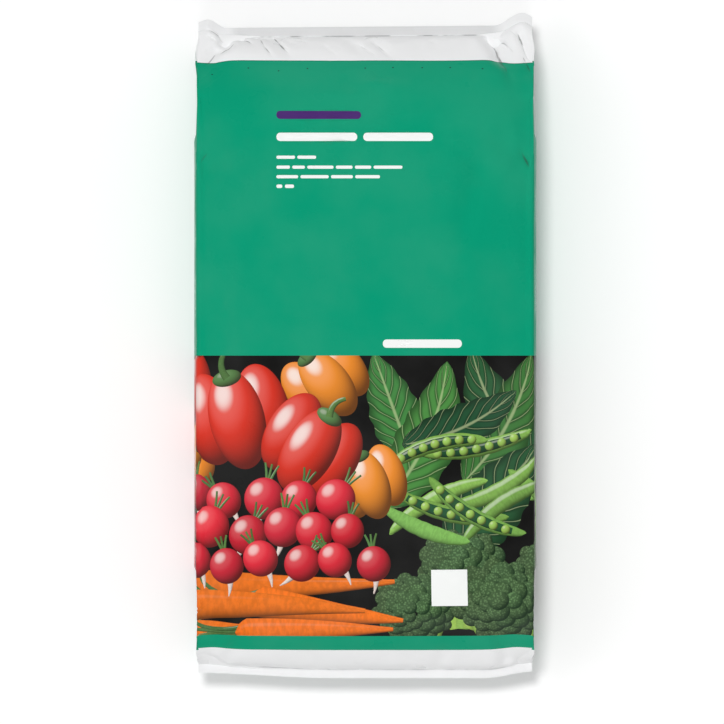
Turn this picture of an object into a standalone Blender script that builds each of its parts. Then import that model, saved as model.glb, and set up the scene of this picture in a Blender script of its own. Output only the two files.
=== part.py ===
"""A filled sack of compost, lying on its back with its printed front up.

The sack is a tube of printed film with a gusset tucked into each side, welded straight across
at the top (+Y) and at the bottom (-Y). It is sealed and full, so it is one solid.
Units are metres. +Z is up, the top weld is at +Y, and the sack lies on z = 0.

Distances called "film" are measured along the film from a weld, and "across" is measured from
the sack's centre line. The film hardly stretches, so the filled shape follows from the flat one:
each gusset half turns about its crease, from tucked in at the weld to upright further along,
and the panels rise with it.
"""

import bisect
import math
from typing import NamedTuple

import bmesh
import bpy

# The flat film
PANEL_WIDTH = 0.413
GUSSET_DEPTH = 0.077
FILM_LENGTH = 0.8321
FILM_THICKNESS = 0.0014

# The strips of film left outside the welds
TOP_FIN = 0.0115
BOTTOM_FIN = 0.0105

# The filling
BACK_SETTLING = 0.0040
OPENING_RUN = 0.160
END_STEEPNESS = math.radians(73)
SIDE_PULL_IN = 0.0030
FRONT_CROWN = 0.0145
CROWN_RUN = 0.110
CREASE_SOFTNESS = 0.62

# The corners of the top fin stand up as two ears, and the bottom corners are drawn in
RIGHT_EAR_RISE = 0.0155
RIGHT_EAR_WIDTH = 0.052
LEFT_EAR_RISE = 0.0105
LEFT_EAR_WIDTH = 0.039
EAR_PEAK_FROM_CREASE = 0.017
EAR_LIFT = 0.006
EAR_RUN = 0.052
TOP_SLANT = 0.0036
WELD_DRAW_IN = 0.0055
WELD_DRAW_RUN = 0.045
RIGHT_CORNER_DRAW = 0.0085
RIGHT_CORNER_WIDTH = 0.064
LEFT_CORNER_DRAW = 0.0065
LEFT_CORNER_WIDTH = 0.170
BOTTOM_CORNER_RUN = 0.060

# The print. The white bands are measured from the welds, and the green block fills the rest
TOP_WHITE_BAND = 0.0582
BOTTOM_WHITE_BAND = 0.0480
STRIP_LENGTH = 0.0224
PICTURE_LENGTH = 0.3423
WARM_FIELD_WIDTH = 0.205

# How finely the film is divided
PANEL_STEPS = 46
EDGE_CROWDING = 0.4
GUSSET_STEPS = (0.1, 0.3, 0.6)
FIRST_STEP = 0.0045
STEP_GROWTH = 0.080
LONGEST_STEP = 0.0130
RUN_SAMPLES = 400


class Corner(NamedTuple):
    """How far a corner of the film is moved along Y, and how far in from its crease that starts."""

    move: float
    width: float


RIGHT_EAR = Corner(RIGHT_EAR_RISE, RIGHT_EAR_WIDTH)
LEFT_EAR = Corner(LEFT_EAR_RISE, LEFT_EAR_WIDTH)
RIGHT_BOTTOM = Corner(RIGHT_CORNER_DRAW, RIGHT_CORNER_WIDTH)
LEFT_BOTTOM = Corner(LEFT_CORNER_DRAW, LEFT_CORNER_WIDTH)


class Fold(NamedTuple):
    """A valley in the front panel, from one point to another, fading out at both ends."""

    start: tuple[float, float]
    end: tuple[float, float]
    depth: float
    half_width: float


def from_right(inset: float) -> float:
    """The across position of a point on the front, measured in from the right crease."""
    return PANEL_WIDTH / 2 - inset


def from_left(inset: float) -> float:
    """The across position of a point on the front, measured in from the left crease."""
    return inset - PANEL_WIDTH / 2


# Each point is (across, film distance from the top weld)
TOP_FOLDS = (
    Fold((from_right(0.056), 0.001), (from_right(0.041), 0.080), 0.0055, 0.0075),
    Fold((from_right(0.048), 0.010), (from_right(0.026), 0.100), 0.0045, 0.0075),
    Fold((from_right(0.020), 0.006), (from_right(0.003), 0.062), 0.0045, 0.0065),
    Fold((from_left(0.047), 0.008), (from_left(0.010), 0.062), 0.0045, 0.0070),
    Fold((from_left(0.040), 0.001), (from_left(0.078), 0.034), 0.0035, 0.0070),
    Fold((-0.128, 0.002), (-0.084, 0.062), 0.0040, 0.0075),
    Fold((-0.112, 0.001), (-0.078, 0.040), 0.0028, 0.0070),
    Fold((-0.027, 0.008), (0.002, 0.058), 0.0028, 0.0080),
    Fold((0.006, 0.012), (0.036, 0.062), 0.0026, 0.0080),
)
FRONT_FOLDS = (
    Fold((0.144, 0.165), (0.112, 0.305), 0.0035, 0.0150),
    Fold((-0.128, 0.125), (-0.134, 0.395), 0.0026, 0.0160),
    Fold((from_right(0.004), 0.190), (from_right(0.060), 0.150), 0.0030, 0.0130),
    Fold((from_left(0.003), 0.205), (from_left(0.050), 0.160), 0.0028, 0.0130),
    Fold((-0.060, 0.450), (-0.165, 0.600), 0.0022, 0.0180),
    Fold((0.090, 0.520), (0.176, 0.650), 0.0024, 0.0170),
)
# Each point is (across, film distance from the bottom weld)
BOTTOM_FOLDS = (
    Fold((from_right(0.030), 0.003), (from_right(0.052), 0.105), 0.0040, 0.0090),
    Fold((from_left(0.034), 0.003), (from_left(0.060), 0.100), 0.0036, 0.0090),
    Fold((-0.050, 0.004), (-0.075, 0.065), 0.0020, 0.0090),
    Fold((0.085, 0.004), (0.100, 0.070), 0.0022, 0.0090),
)

# Plain colours, as the print shows them
WHITE_FILM = ("white_film", (0.93, 0.94, 0.95), 0.38)
GREEN_PRINT = ("green_print", (0.004, 0.34, 0.19), 0.36)
WARM_FIELD = ("warm_print", (0.62, 0.06, 0.025), 0.36)
LEAFY_FIELD = ("leafy_print", (0.07, 0.19, 0.05), 0.36)
PRINTS = (WHITE_FILM, GREEN_PRINT, WARM_FIELD, LEAFY_FIELD)


def smooth(value: float) -> float:
    """Eases from 0 to 1, flat at both ends, and holds outside them."""
    value = min(max(value, 0.0), 1.0)
    return value * value * (3 - 2 * value)


# The angle that a gusset half turns through, from tucked in to a little past upright, so that the
# middle of each side swells out as far as the flat panel's edge
FULL_TURN = math.acos(-SIDE_PULL_IN / GUSSET_DEPTH)
TURN_EASE = math.sin(END_STEEPNESS) * OPENING_RUN / (GUSSET_DEPTH * FULL_TURN)


def gusset_turn(film: float) -> float:
    """The angle of a gusset half at this film distance from the nearer weld."""
    left = max(1 - film / OPENING_RUN, 0.0)
    return FULL_TURN * (1 - left**TURN_EASE)


def crease_rise(film: float) -> float:
    """How far the creases stand above and below the weld's height."""
    return GUSSET_DEPTH * math.sin(gusset_turn(film))


def run_table() -> list[float]:
    """The distance along Y that the film covers, at even film distances from a weld."""
    step = OPENING_RUN / RUN_SAMPLES
    table = [0.0]
    for sample in range(RUN_SAMPLES):
        rise = crease_rise((sample + 1) * step) - crease_rise(sample * step)
        table.append(table[-1] + math.sqrt(max(step**2 - rise**2, 0.0)))
    return table


RUN_TABLE = run_table()


def run_along_y(film: float) -> float:
    """The distance along Y from a weld to the film that lies this far from it."""
    if film >= OPENING_RUN:
        return RUN_TABLE[-1] + film - OPENING_RUN
    place = film / OPENING_RUN * RUN_SAMPLES
    low = min(int(place), RUN_SAMPLES - 1)
    return RUN_TABLE[low] + (RUN_TABLE[low + 1] - RUN_TABLE[low]) * (place - low)


TOP_WELD_Y = run_along_y(FILM_LENGTH / 2)
# Where the picture's two fields of colour meet, from -1 at the left crease to 1 at the right
FIELD_EDGE = 2 * WARM_FIELD_WIDTH / PANEL_WIDTH - 1
# The welds lie halfway up the gussets, less what the back flattens under the filling's weight
WELD_HEIGHT = GUSSET_DEPTH - BACK_SETTLING


def half_width(film: float) -> float:
    """The across position of the creases, drawn in at the weld and where the front is crowned."""
    at_weld = WELD_DRAW_IN * smooth(1 - film / WELD_DRAW_RUN)
    return PANEL_WIDTH / 2 - at_weld - SIDE_PULL_IN * smooth(film / OPENING_RUN)


def fold_depth(folds: tuple[Fold, ...], across: float, film: float) -> float:
    """How deep these folds are together at one point of the front."""
    depth = 0.0
    for fold in folds:
        along = (fold.end[0] - fold.start[0], fold.end[1] - fold.start[1])
        offset = (across - fold.start[0], film - fold.start[1])
        length = math.hypot(*along)
        share = (offset[0] * along[0] + offset[1] * along[1]) / length**2
        aside = abs(offset[0] * along[1] - offset[1] * along[0]) / length
        fade = smooth(share * 4) * smooth((1 - share) * 2.5)
        depth += fold.depth * fade * math.exp(-((aside / fold.half_width) ** 2))
    return depth


def ear(inset: float, width: float) -> float:
    """The outline of an ear, from 0 to 1, at this distance in from its crease."""
    if inset > EAR_PEAK_FROM_CREASE:
        return smooth((width - inset) / (width - EAR_PEAK_FROM_CREASE))
    return 1 - 0.65 * (1 - inset / EAR_PEAK_FROM_CREASE) ** 1.5


def end_shift(across: float, film: float, at_top: bool) -> tuple[float, float]:
    """How far the film near an end is moved outwards along Y, and up."""
    inset = max(PANEL_WIDTH / 2 - abs(across), 0.0)
    if at_top:
        corner = RIGHT_EAR if across > 0 else LEFT_EAR
        near_weld = smooth(1 - film / EAR_RUN)
        share = ear(inset, corner.width) * near_weld
        slant = TOP_SLANT * across / PANEL_WIDTH * near_weld
        return corner.move * share + slant, EAR_LIFT * share
    corner = RIGHT_BOTTOM if across > 0 else LEFT_BOTTOM
    share = smooth(1 - inset / corner.width) * smooth(1 - film / BOTTOM_CORNER_RUN)
    return -corner.move * share, 0.0


class Place(NamedTuple):
    """A point of a ring: across, the share of the way up or down, and the panel it is on."""

    across: float
    tuck: float
    panel: str


def snap(values: list[float], edge: float) -> None:
    """Moves the value that is nearest to an edge of the print onto it."""
    nearest = min(range(len(values)), key=lambda index: abs(values[index] - edge))
    values[nearest] = edge


def ring_places() -> list[Place]:
    """The points once round the film, from the left crease of the front, seen from the bottom."""
    shares = [2 * step / PANEL_STEPS - 1 for step in range(PANEL_STEPS + 1)]
    crowded = [math.sin(math.pi / 2 * share) for share in shares]
    columns = [share + (crowd - share) * EDGE_CROWDING for share, crowd in zip(shares, crowded)]
    snap(columns, FIELD_EDGE)
    places = [Place(column, 0.0, "front") for column in columns]
    back = [Place(column, 0.0, "back") for column in reversed(columns)]
    inwards = [(tuck, "front gusset") for tuck in GUSSET_STEPS]
    outwards = [(tuck, "back gusset") for tuck in reversed(GUSSET_STEPS)]
    right_side = [*inwards, (1.0, "gusset middle"), *outwards]
    places += [Place(1.0, tuck, panel) for tuck, panel in right_side]
    places += back
    places += [Place(-1.0, tuck, panel) for tuck, panel in reversed(right_side)]
    return places


def film_point(place: Place, film: float, at_top: bool) -> tuple[float, float, float]:
    """One point of the film, at this distance from the nearer weld."""
    turn = gusset_turn(film)
    rise = crease_rise(film) + FILM_THICKNESS / 2
    width = half_width(film)
    across = place.across * width
    out, lift = 0.0, 0.0
    if place.panel in ("front", "back"):
        out, lift = end_shift(across, film, at_top)
        swell = FRONT_CROWN * smooth(film / CROWN_RUN) ** 0.5 * (1 - abs(place.across) ** 3)
        height = rise + swell if place.panel == "front" else -rise
    else:
        tucked = GUSSET_DEPTH * math.cos(turn) * place.tuck
        across = math.copysign(width - tucked, place.across)
        height = rise * (1 - place.tuck) * (1 if place.panel == "front gusset" else -1)
        share = 1 - place.tuck
        near_out, near_lift = end_shift(math.copysign(width, place.across), film, at_top)
        out, lift = near_out * share, near_lift * share
    y = TOP_WELD_Y - run_along_y(film) + out
    z = WELD_HEIGHT + height + lift
    return across, y if at_top else -y, max(z, 0.0)


def fin_point(place: Place, outside: float, at_top: bool) -> tuple[float, float, float]:
    """One point of a fin, this far outside its weld. The gusset lies flat in its side edge."""
    across = place.across * half_width(0.0)
    out, lift = end_shift(across, 0.0, at_top)
    sides = {"front": 1.0, "back": -1.0, "front gusset": 1 - place.tuck, "gusset middle": 0.0}
    height = FILM_THICKNESS / 2 * sides.get(place.panel, place.tuck - 1)
    y = TOP_WELD_Y + outside + out
    return across, y if at_top else -y, WELD_HEIGHT + height + lift


def station_films() -> list[float]:
    """Film distances from the top weld, close together near the welds, one on each print edge."""
    from_weld = [0.0]
    while from_weld[-1] < FILM_LENGTH / 2 - LONGEST_STEP:
        step = min(FIRST_STEP + STEP_GROWTH * from_weld[-1], LONGEST_STEP)
        from_weld.append(from_weld[-1] + step)
    films = from_weld + [FILM_LENGTH - film for film in reversed(from_weld)]
    for edge in print_edges():
        snap(films, edge)
    return films


def print_edges() -> tuple[float, float, float, float]:
    """Film distances from the top weld where the front's print changes."""
    strip_end = FILM_LENGTH - BOTTOM_WHITE_BAND
    picture_end = strip_end - STRIP_LENGTH
    return TOP_WHITE_BAND, picture_end - PICTURE_LENGTH, picture_end, strip_end


def print_at(place: Place, film: float) -> tuple:
    """The print on the face that starts at this place and lies at this film distance."""
    picture = WARM_FIELD if place.across < FIELD_EDGE else LEAFY_FIELD
    if place.panel == "back" and place.across > -1.0:
        picture = GREEN_PRINT
    bands = (WHITE_FILM, GREEN_PRINT, picture, GREEN_PRINT, WHITE_FILM)
    return bands[bisect.bisect(print_edges(), film)]


def folded(point: tuple, place: Place, film: float) -> tuple[float, float, float]:
    """The point of the front panel pressed in where folds run."""
    from_bottom = FILM_LENGTH - film
    across = place.across * PANEL_WIDTH / 2
    depth = fold_depth(TOP_FOLDS + FRONT_FOLDS, across, film)
    depth += fold_depth(BOTTOM_FOLDS, across, from_bottom)
    nearer = min(film, from_bottom)
    step = OPENING_RUN / RUN_SAMPLES
    climb = (crease_rise(nearer + step) - crease_rise(nearer)) / step
    slope = math.asin(min(max(climb, 0.0), 1.0))
    # A fold is pressed in only as far as the filling behind the front leaves room
    depth = min(depth, crease_rise(nearer) / 3)
    sign = 1 if film < from_bottom else -1
    x, y, z = point
    return x, y - sign * math.sin(slope) * depth, z - math.cos(slope) * depth


def soften(ring: list, places: list[Place], film: float) -> list:
    """The ring with its four creases rounded over where the film is pushed apart."""
    amount = CREASE_SOFTNESS * smooth(film / OPENING_RUN)
    softened = list(ring)
    for index, place in enumerate(places):
        if abs(place.across) < 1.0 or place.panel not in ("front", "back"):
            continue
        before, here, after = ring[index - 1], ring[index], ring[(index + 1) % len(ring)]
        middle = [(a + b) / 2 for a, b in zip(before, after)]
        softened[index] = tuple(h + (m - h) * amount for h, m in zip(here, middle))
    return softened


def sack_ring(places: list[Place], film: float) -> list:
    """The points once round the filled sack, at this film distance from the top weld."""
    at_top = film < FILM_LENGTH / 2
    nearer = min(film, FILM_LENGTH - film)
    ring = [film_point(place, nearer, at_top) for place in places]
    ring = soften(ring, places, nearer)
    for index, place in enumerate(places):
        if place.panel == "front":
            ring[index] = folded(ring[index], place, film)
    return ring


def sack_rings(places: list[Place]) -> list:
    """(film distance, points) of each ring, from the top fin's edge to the bottom fin's."""
    films = station_films()
    rings = [(-TOP_FIN, [fin_point(place, TOP_FIN, True) for place in places])]
    rings.append((0.0, [fin_point(place, 0.0, True) for place in places]))
    rings += [(film, sack_ring(places, film)) for film in films[1:-1]]
    rings.append((FILM_LENGTH, [fin_point(place, 0.0, False) for place in places]))
    fin_edge = [fin_point(place, BOTTOM_FIN, False) for place in places]
    rings.append((FILM_LENGTH + BOTTOM_FIN, fin_edge))
    return rings


def close_end(mesh: bmesh.types.BMesh, ring: list, outwards_y: bool) -> None:
    """Closes the cut edge of a fin with a strip of faces between its front and its back."""
    sides = len(GUSSET_STEPS) * 2 + 1
    back_start = PANEL_STEPS + 1 + sides
    front = ring[: PANEL_STEPS + 1]
    back = ring[back_start : back_start + PANEL_STEPS + 1][::-1]
    for step in range(PANEL_STEPS):
        corners = [front[step], front[step + 1], back[step + 1], back[step]]
        if step == 0:
            corners += ring[back_start + PANEL_STEPS + 1 :]
        if step == PANEL_STEPS - 1:
            corners[2:2] = ring[PANEL_STEPS + 1 : back_start]
        mesh.faces.new(corners if outwards_y else corners[::-1])


def centre(mesh: bmesh.types.BMesh) -> None:
    """Moves the sack so that its box is centred over the origin."""
    for axis in (0, 1):
        values = [vertex.co[axis] for vertex in mesh.verts]
        middle = (min(values) + max(values)) / 2
        for vertex in mesh.verts:
            vertex.co[axis] -= middle


def sack_mesh() -> bpy.types.Mesh:
    """The closed skin of the sack, with its print as one material per field of colour."""
    places = ring_places()
    rings = sack_rings(places)
    mesh = bmesh.new()
    skins = [[mesh.verts.new(point) for point in points] for _, points in rings]
    names = [name for name, _, _ in PRINTS]
    for (film, _), (next_film, _), upper, lower in zip(rings, rings[1:], skins, skins[1:]):
        for index, place in enumerate(places):
            after = (index + 1) % len(places)
            face = mesh.faces.new((upper[index], lower[index], lower[after], upper[after]))
            face.material_index = names.index(print_at(place, (film + next_film) / 2)[0])
            face.smooth = True
    close_end(mesh, skins[0], True)
    close_end(mesh, skins[-1], False)
    centre(mesh)
    data = bpy.data.meshes.new("compost_bag")
    mesh.to_mesh(data)
    mesh.free()
    return data


def print_material(name: str, colour: tuple[float, float, float], roughness: float):
    """A plain glossy film material of one colour."""
    material = bpy.data.materials.new(name)
    material.use_nodes = True
    principled = material.node_tree.nodes["Principled BSDF"]
    principled.inputs["Base Color"].default_value = (*colour, 1.0)
    principled.inputs["Roughness"].default_value = roughness
    principled.inputs["Metallic"].default_value = 0.0
    return material


def clear_scene() -> None:
    """Removes every object that is in the scene."""
    for existing in list(bpy.data.objects):
        bpy.data.objects.remove(existing)


def main() -> None:
    """Builds the sack."""
    clear_scene()
    data = sack_mesh()
    for name, colour, roughness in PRINTS:
        data.materials.append(print_material(name, colour, roughness))
    sack = bpy.data.objects.new("compost_bag", data)
    bpy.context.scene.collection.objects.link(sack)


main()
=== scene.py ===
"""The looks of the filled sack of compost: its wrinkled film, its print, a floor, lamps and a camera.

The film is one closed skin. Its form is worked out from the flat film as the CAD part's is, a cloth
simulation adds the wrinkles that such film settles into, and folds are pressed in where the real
sack has them. The print is drawn on the flat film as plain forms, and the front is divided along
their outlines, so each form is a set of faces with its own finish.

Lengths are metres. "Ring" is the distance once round the film, from the left crease of the front
to the right crease and on by the right gusset, the back and the left gusset. "Film" is the distance
along the film from the top weld, and it is negative on the fin outside that weld. "Across" is
measured from the sack's centre line.
"""

import logging
import math
import random
from dataclasses import dataclass, replace
from enum import Enum
from functools import cached_property
from typing import Callable

import bpy
import numpy as np
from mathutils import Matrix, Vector
from mathutils.geometry import delaunay_2d_cdt


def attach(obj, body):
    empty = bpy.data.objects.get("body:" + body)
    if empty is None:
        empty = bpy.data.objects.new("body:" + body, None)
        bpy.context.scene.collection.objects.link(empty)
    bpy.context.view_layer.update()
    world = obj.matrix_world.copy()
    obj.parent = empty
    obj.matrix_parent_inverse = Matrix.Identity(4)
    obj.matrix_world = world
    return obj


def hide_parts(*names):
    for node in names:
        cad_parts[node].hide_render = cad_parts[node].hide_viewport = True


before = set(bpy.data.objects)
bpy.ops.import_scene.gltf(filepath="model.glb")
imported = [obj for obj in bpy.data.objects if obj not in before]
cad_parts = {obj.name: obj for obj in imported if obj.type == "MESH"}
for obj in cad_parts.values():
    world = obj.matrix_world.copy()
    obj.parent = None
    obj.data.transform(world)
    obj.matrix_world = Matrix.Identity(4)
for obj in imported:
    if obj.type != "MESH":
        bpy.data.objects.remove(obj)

NODE = "compost_bag"
LOG = logging.getLogger("compost_bag")
Pair = tuple[float, float]
Triple = tuple[float, float, float]
Colour = Triple
Array = np.ndarray
Socket = bpy.types.NodeSocket
Tree = bpy.types.NodeTree
Value = float | Socket
Fill = tuple[float, ...] | Socket
# Places on the flat film are told apart to a hundredth of a millimetre
PLACES_A_METRE = 1e5


def ease(values: Array) -> Array:
    """Eases from 0 to 1, flat at both ends, and holds outside them."""
    held = np.clip(values, 0.0, 1.0)
    return held * held * (3 - 2 * held)


def from_screen(red: int, green: int, blue: int) -> Colour:
    """The linear colour that shows as these values, of 255, on a screen."""
    shares = [channel / 255 for channel in (red, green, blue)]
    return tuple(s / 12.92 if s <= 0.04045 else ((s + 0.055) / 1.055) ** 2.4 for s in shares)


def placed(name: str, data: bpy.types.ID) -> bpy.types.Object:
    """A new object in the scene with this mesh, light or camera.

    Args:
        name: The object's name.
        data: What it shows.

    Returns:
        The object.
    """
    made = bpy.data.objects.new(name, data)
    bpy.context.scene.collection.objects.link(made)
    return made


@dataclass(frozen=True)
class Corner:
    """How far a corner of the film is moved along Y, and how far in from its crease that starts."""

    move: float
    width: float


@dataclass(frozen=True)
class Fold:
    """A valley pressed into the film between two (across, film) points, or a ridge if depth is negative."""

    start: Pair
    end: Pair
    depth: float
    half_width: float
    bow: float = 0.0
    fade_in: float = 0.25
    fade_out: float = 0.4
    line_margin: float = 0.04
    line_aside: float = 1.1

    def height(self, across: Array, film: Array) -> Array:
        """The height that the fold adds, which is negative in a valley.

        Args:
            across: Where the points are across the sack.
            film: Where they are along the film.

        Returns:
            One height for each point.
        """
        along = (self.end[0] - self.start[0], self.end[1] - self.start[1])
        length = math.hypot(*along)
        offset = (across - self.start[0], film - self.start[1])
        share = (offset[0] * along[0] + offset[1] * along[1]) / length**2
        aside = (offset[0] * along[1] - offset[1] * along[0]) / length
        aside = aside - self.bow * 4 * share * (1 - share)
        fade = ease(share / self.fade_in) * ease((1 - share) / self.fade_out)
        return -self.depth * fade * np.exp(-((aside / self.half_width) ** 2))

    def lines(self, spacing: float) -> list[Array]:
        """The fold's own line and one on each side of it, for the mesh to follow.

        Args:
            spacing: How far apart the points are.

        Returns:
            The three lines, as rows of (across, film) points.
        """
        along = np.array(self.end) - np.array(self.start)
        length = float(np.hypot(*along))
        aside = np.array([along[1], -along[0]]) / length
        count = max(int(length / spacing), 3)
        shares = np.linspace(self.line_margin, 1 - self.line_margin, count + 1)[:, None]
        middle = np.array(self.start) + along * shares + aside * self.bow * 4 * shares * (1 - shares)
        steps = (-self.line_aside, 0.0, self.line_aside)
        return [middle + aside * self.half_width * step for step in steps]


@dataclass(frozen=True)
class SackShape:
    """The form of the filled sack, from the same flat film and filling as the CAD part."""

    panel_width: float = 0.413
    gusset_depth: float = 0.077
    film_length: float = 0.8321
    film_thickness: float = 0.001
    top_fin: float = 0.0115
    bottom_fin: float = 0.0105
    back_settling: float = 0.004
    opening_run: float = 0.16
    end_steepness: float = math.radians(73)
    side_pull_in: float = 0.003
    front_crown: float = 0.0145
    crown_run: float = 0.11
    run_samples: int = 401
    crease_rounding: float = 0.0075
    crease_reach: float = 2.0
    middle_rounding: float = 0.024
    middle_reach: float = 1.6
    right_ear: Corner = Corner(0.0155, 0.052)
    left_ear: Corner = Corner(0.0105, 0.039)
    ear_peak_from_crease: float = 0.017
    ear_fall: float = 0.65
    ear_lift: float = 0.006
    ear_run: float = 0.052
    top_slant: float = 0.0036
    weld_draw_in: float = 0.0055
    weld_draw_run: float = 0.045
    right_corner: Corner = Corner(0.0085, 0.064)
    left_corner: Corner = Corner(0.0065, 0.17)
    bottom_corner_run: float = 0.06
    weld_wave: float = 0.001
    weld_waves: tuple[Triple, ...] = ((1.0, 61, 0.6), (0.7, 143, 2.1), (0.4, 290, 0.0))

    @property
    def ring_length(self) -> float:
        """The distance once round the film."""
        return 2 * self.panel_width + 4 * self.gusset_depth

    @property
    def weld_height(self) -> float:
        """How high the welds stand over the floor."""
        return self.gusset_depth - self.back_settling

    @cached_property
    def full_turn(self) -> float:
        """The angle that a gusset half turns through, to a little past upright."""
        return math.acos(-self.side_pull_in / self.gusset_depth)

    @cached_property
    def run_table(self) -> tuple[Array, Array]:
        """Even film distances from a weld, and the distances along Y that the film covers."""
        films = np.linspace(0.0, self.opening_run, self.run_samples)
        climbs = np.diff(self.rise(films))
        steps = np.sqrt(np.maximum((films[1] - films[0]) ** 2 - climbs**2, 0.0))
        return films, np.concatenate(([0.0], np.cumsum(steps)))

    @cached_property
    def top_weld_y(self) -> float:
        """Where the top weld is along Y, before the sack is centred."""
        return float(self.run(np.array([self.film_length / 2]))[0])

    def unrolled(self, ring: Array) -> Array:
        """The distance from the front's middle line, going round by the nearer side."""
        half = self.ring_length / 2
        return np.mod(ring - self.panel_width / 2 + half, self.ring_length) - half

    def turn(self, nearer: Array) -> Array:
        """The angle of a gusset half.

        Args:
            nearer: Film distances from the nearer weld.

        Returns:
            One angle for each distance.
        """
        power = math.sin(self.end_steepness) * self.opening_run / (self.gusset_depth * self.full_turn)
        left = np.maximum(1 - nearer / self.opening_run, 0.0)
        return self.full_turn * (1 - left**power)

    def rise(self, nearer: Array) -> Array:
        """How far the creases stand above and below the weld's height."""
        return self.gusset_depth * np.sin(self.turn(nearer))

    def run(self, nearer: Array) -> Array:
        """The distances along Y from a weld to the film that lies this far from it."""
        films, runs = self.run_table
        return np.interp(nearer, films, runs) + np.maximum(nearer - self.opening_run, 0.0)

    def half_width(self, nearer: Array) -> Array:
        """The across position of the creases."""
        at_weld = self.weld_draw_in * ease(1 - nearer / self.weld_draw_run)
        return self.panel_width / 2 - at_weld - self.side_pull_in * ease(nearer / self.opening_run)

    def ear(self, inset: Array, width: Array) -> Array:
        """The outline of an ear of the top fin.

        Args:
            inset: Distances in from the ear's crease.
            width: How far in the ear reaches, at each of them.

        Returns:
            The ear's height at each distance, from 0 to 1.
        """
        peak = self.ear_peak_from_crease
        inner = ease((width - inset) / (width - peak))
        outer = 1 - self.ear_fall * np.maximum(1 - inset / peak, 0.0) ** 1.5
        return np.where(inset > peak, inner, outer)

    def end_shift(self, across: Array, nearer: Array, at_top: Array) -> tuple:
        """How far the film near an end is moved outwards along Y, and up.

        Args:
            across: Where the points are across the sack.
            nearer: Their film distances from the nearer weld.
            at_top: Whether that weld is the top one.

        Returns:
            The moves along Y and the lifts.
        """
        inset = np.maximum(self.panel_width / 2 - np.abs(across), 0.0)
        right = across > 0
        near_weld = ease(1 - nearer / self.ear_run)
        ear_share = self.ear(inset, np.where(right, self.right_ear.width, self.left_ear.width)) * near_weld
        ear_move = np.where(right, self.right_ear.move, self.left_ear.move) * ear_share
        slant = self.top_slant * across / self.panel_width * near_weld
        width = np.where(right, self.right_corner.width, self.left_corner.width)
        draw = np.where(right, self.right_corner.move, self.left_corner.move)
        drawn = -draw * ease(1 - inset / width) * ease(1 - nearer / self.bottom_corner_run)
        wave = sum(size * np.sin(across * pitch + start) for size, pitch, start in self.weld_waves)
        lift = self.weld_wave * wave * near_weld**3 + np.where(at_top, self.ear_lift * ear_share, 0.0)
        return np.where(at_top, ear_move + slant, drawn), lift

    def bare(self, ring: Array, film: Array) -> Array:
        """Points of the film before its creases are rounded.

        Args:
            ring: Distances round the film.
            film: Distances along the film.

        Returns:
            One row of x, y, z for each point.
        """
        width, depth = self.panel_width, self.gusset_depth
        ring = np.mod(ring, self.ring_length)
        inside = np.clip(film, 0.0, self.film_length)
        at_top = film < self.film_length / 2
        nearer = np.minimum(inside, self.film_length - inside)
        on_front = ring <= width
        from_back = ring - width - 2 * depth
        on_back = np.abs(from_back - width / 2) < width / 2 + 1e-9
        on_side = ~(on_front | on_back)
        side = np.where(ring < 1.5 * width + 2 * depth, 1.0, -1.0)
        middle = np.where(side > 0, width + depth, 2 * width + 3 * depth)
        tuck = np.where(on_side, 1 - np.abs(ring - middle) / depth, 0.0)
        upper = on_front | (on_side & (side * (middle - ring) > 0))
        share = np.where(on_front, 2 * ring / width - 1, np.where(on_back, 1 - 2 * from_back / width, side))
        half = self.half_width(nearer)
        out, lift = self.end_shift(share * half, nearer, at_top)
        tucked = np.where(on_side, side * depth * np.cos(self.turn(nearer)) * tuck, 0.0)
        crown = self.front_crown * np.sqrt(ease(nearer / self.crown_run)) * (1 - np.abs(share) ** 3)
        rise = (self.rise(nearer) + self.film_thickness / 2) * (1 - tuck)
        height = np.where(upper, rise, -rise) + np.where(on_front, crown, 0.0)
        y = self.top_weld_y - self.run(nearer) + np.abs(film - inside) + out * (1 - tuck)
        z = self.weld_height + height + lift * (1 - tuck)
        return np.stack((share * half - tucked, np.where(at_top, y, -y), z), axis=-1)

    def points(self, ring: Array, film: Array) -> Array:
        """Points of the film with its creases rounded where the filling pushes it apart.

        Args:
            ring: Distances round the film.
            film: Distances along the film.

        Returns:
            One row of x, y, z for each point.
        """
        width, depth = self.panel_width, self.gusset_depth
        ring = np.mod(ring, self.ring_length)
        creases = (0.0, width, width + 2 * depth, 2 * width + 2 * depth, self.ring_length)
        middles = (width + depth, 2 * width + 3 * depth)
        reach = np.zeros_like(ring)
        for crease in creases:
            near = ease(1 - np.abs(ring - crease) / (self.crease_reach * self.crease_rounding))
            reach = np.maximum(reach, self.crease_rounding * near)
        for middle in middles:
            near = ease(1 - np.abs(ring - middle) / (self.middle_reach * self.middle_rounding))
            reach = np.maximum(reach, self.middle_rounding * near)
        nearer = np.minimum(np.maximum(film, 0.0), self.film_length - np.minimum(film, self.film_length))
        reach = reach * ease(nearer / self.opening_run) ** 1.5
        offsets = (-1.0, -0.5, 0.0, 0.5, 1.0)
        total = sum(self.bare(ring + offset * reach, film) for offset in offsets)
        return total / len(offsets)

    def normals(self, ring: Array, film: Array) -> Array:
        """The directions straight out of the film.

        Args:
            ring: Distances round the film.
            film: Distances along the film.

        Returns:
            One direction, of length 1, for each point.
        """
        step = 0.0012
        round_film = self.points(ring + step, film) - self.points(ring - step, film)
        along_film = self.points(ring, film + step) - self.points(ring, film - step)
        outward = np.cross(along_film, round_film)
        return outward / np.maximum(np.linalg.norm(outward, axis=-1, keepdims=True), 1e-12)


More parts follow.
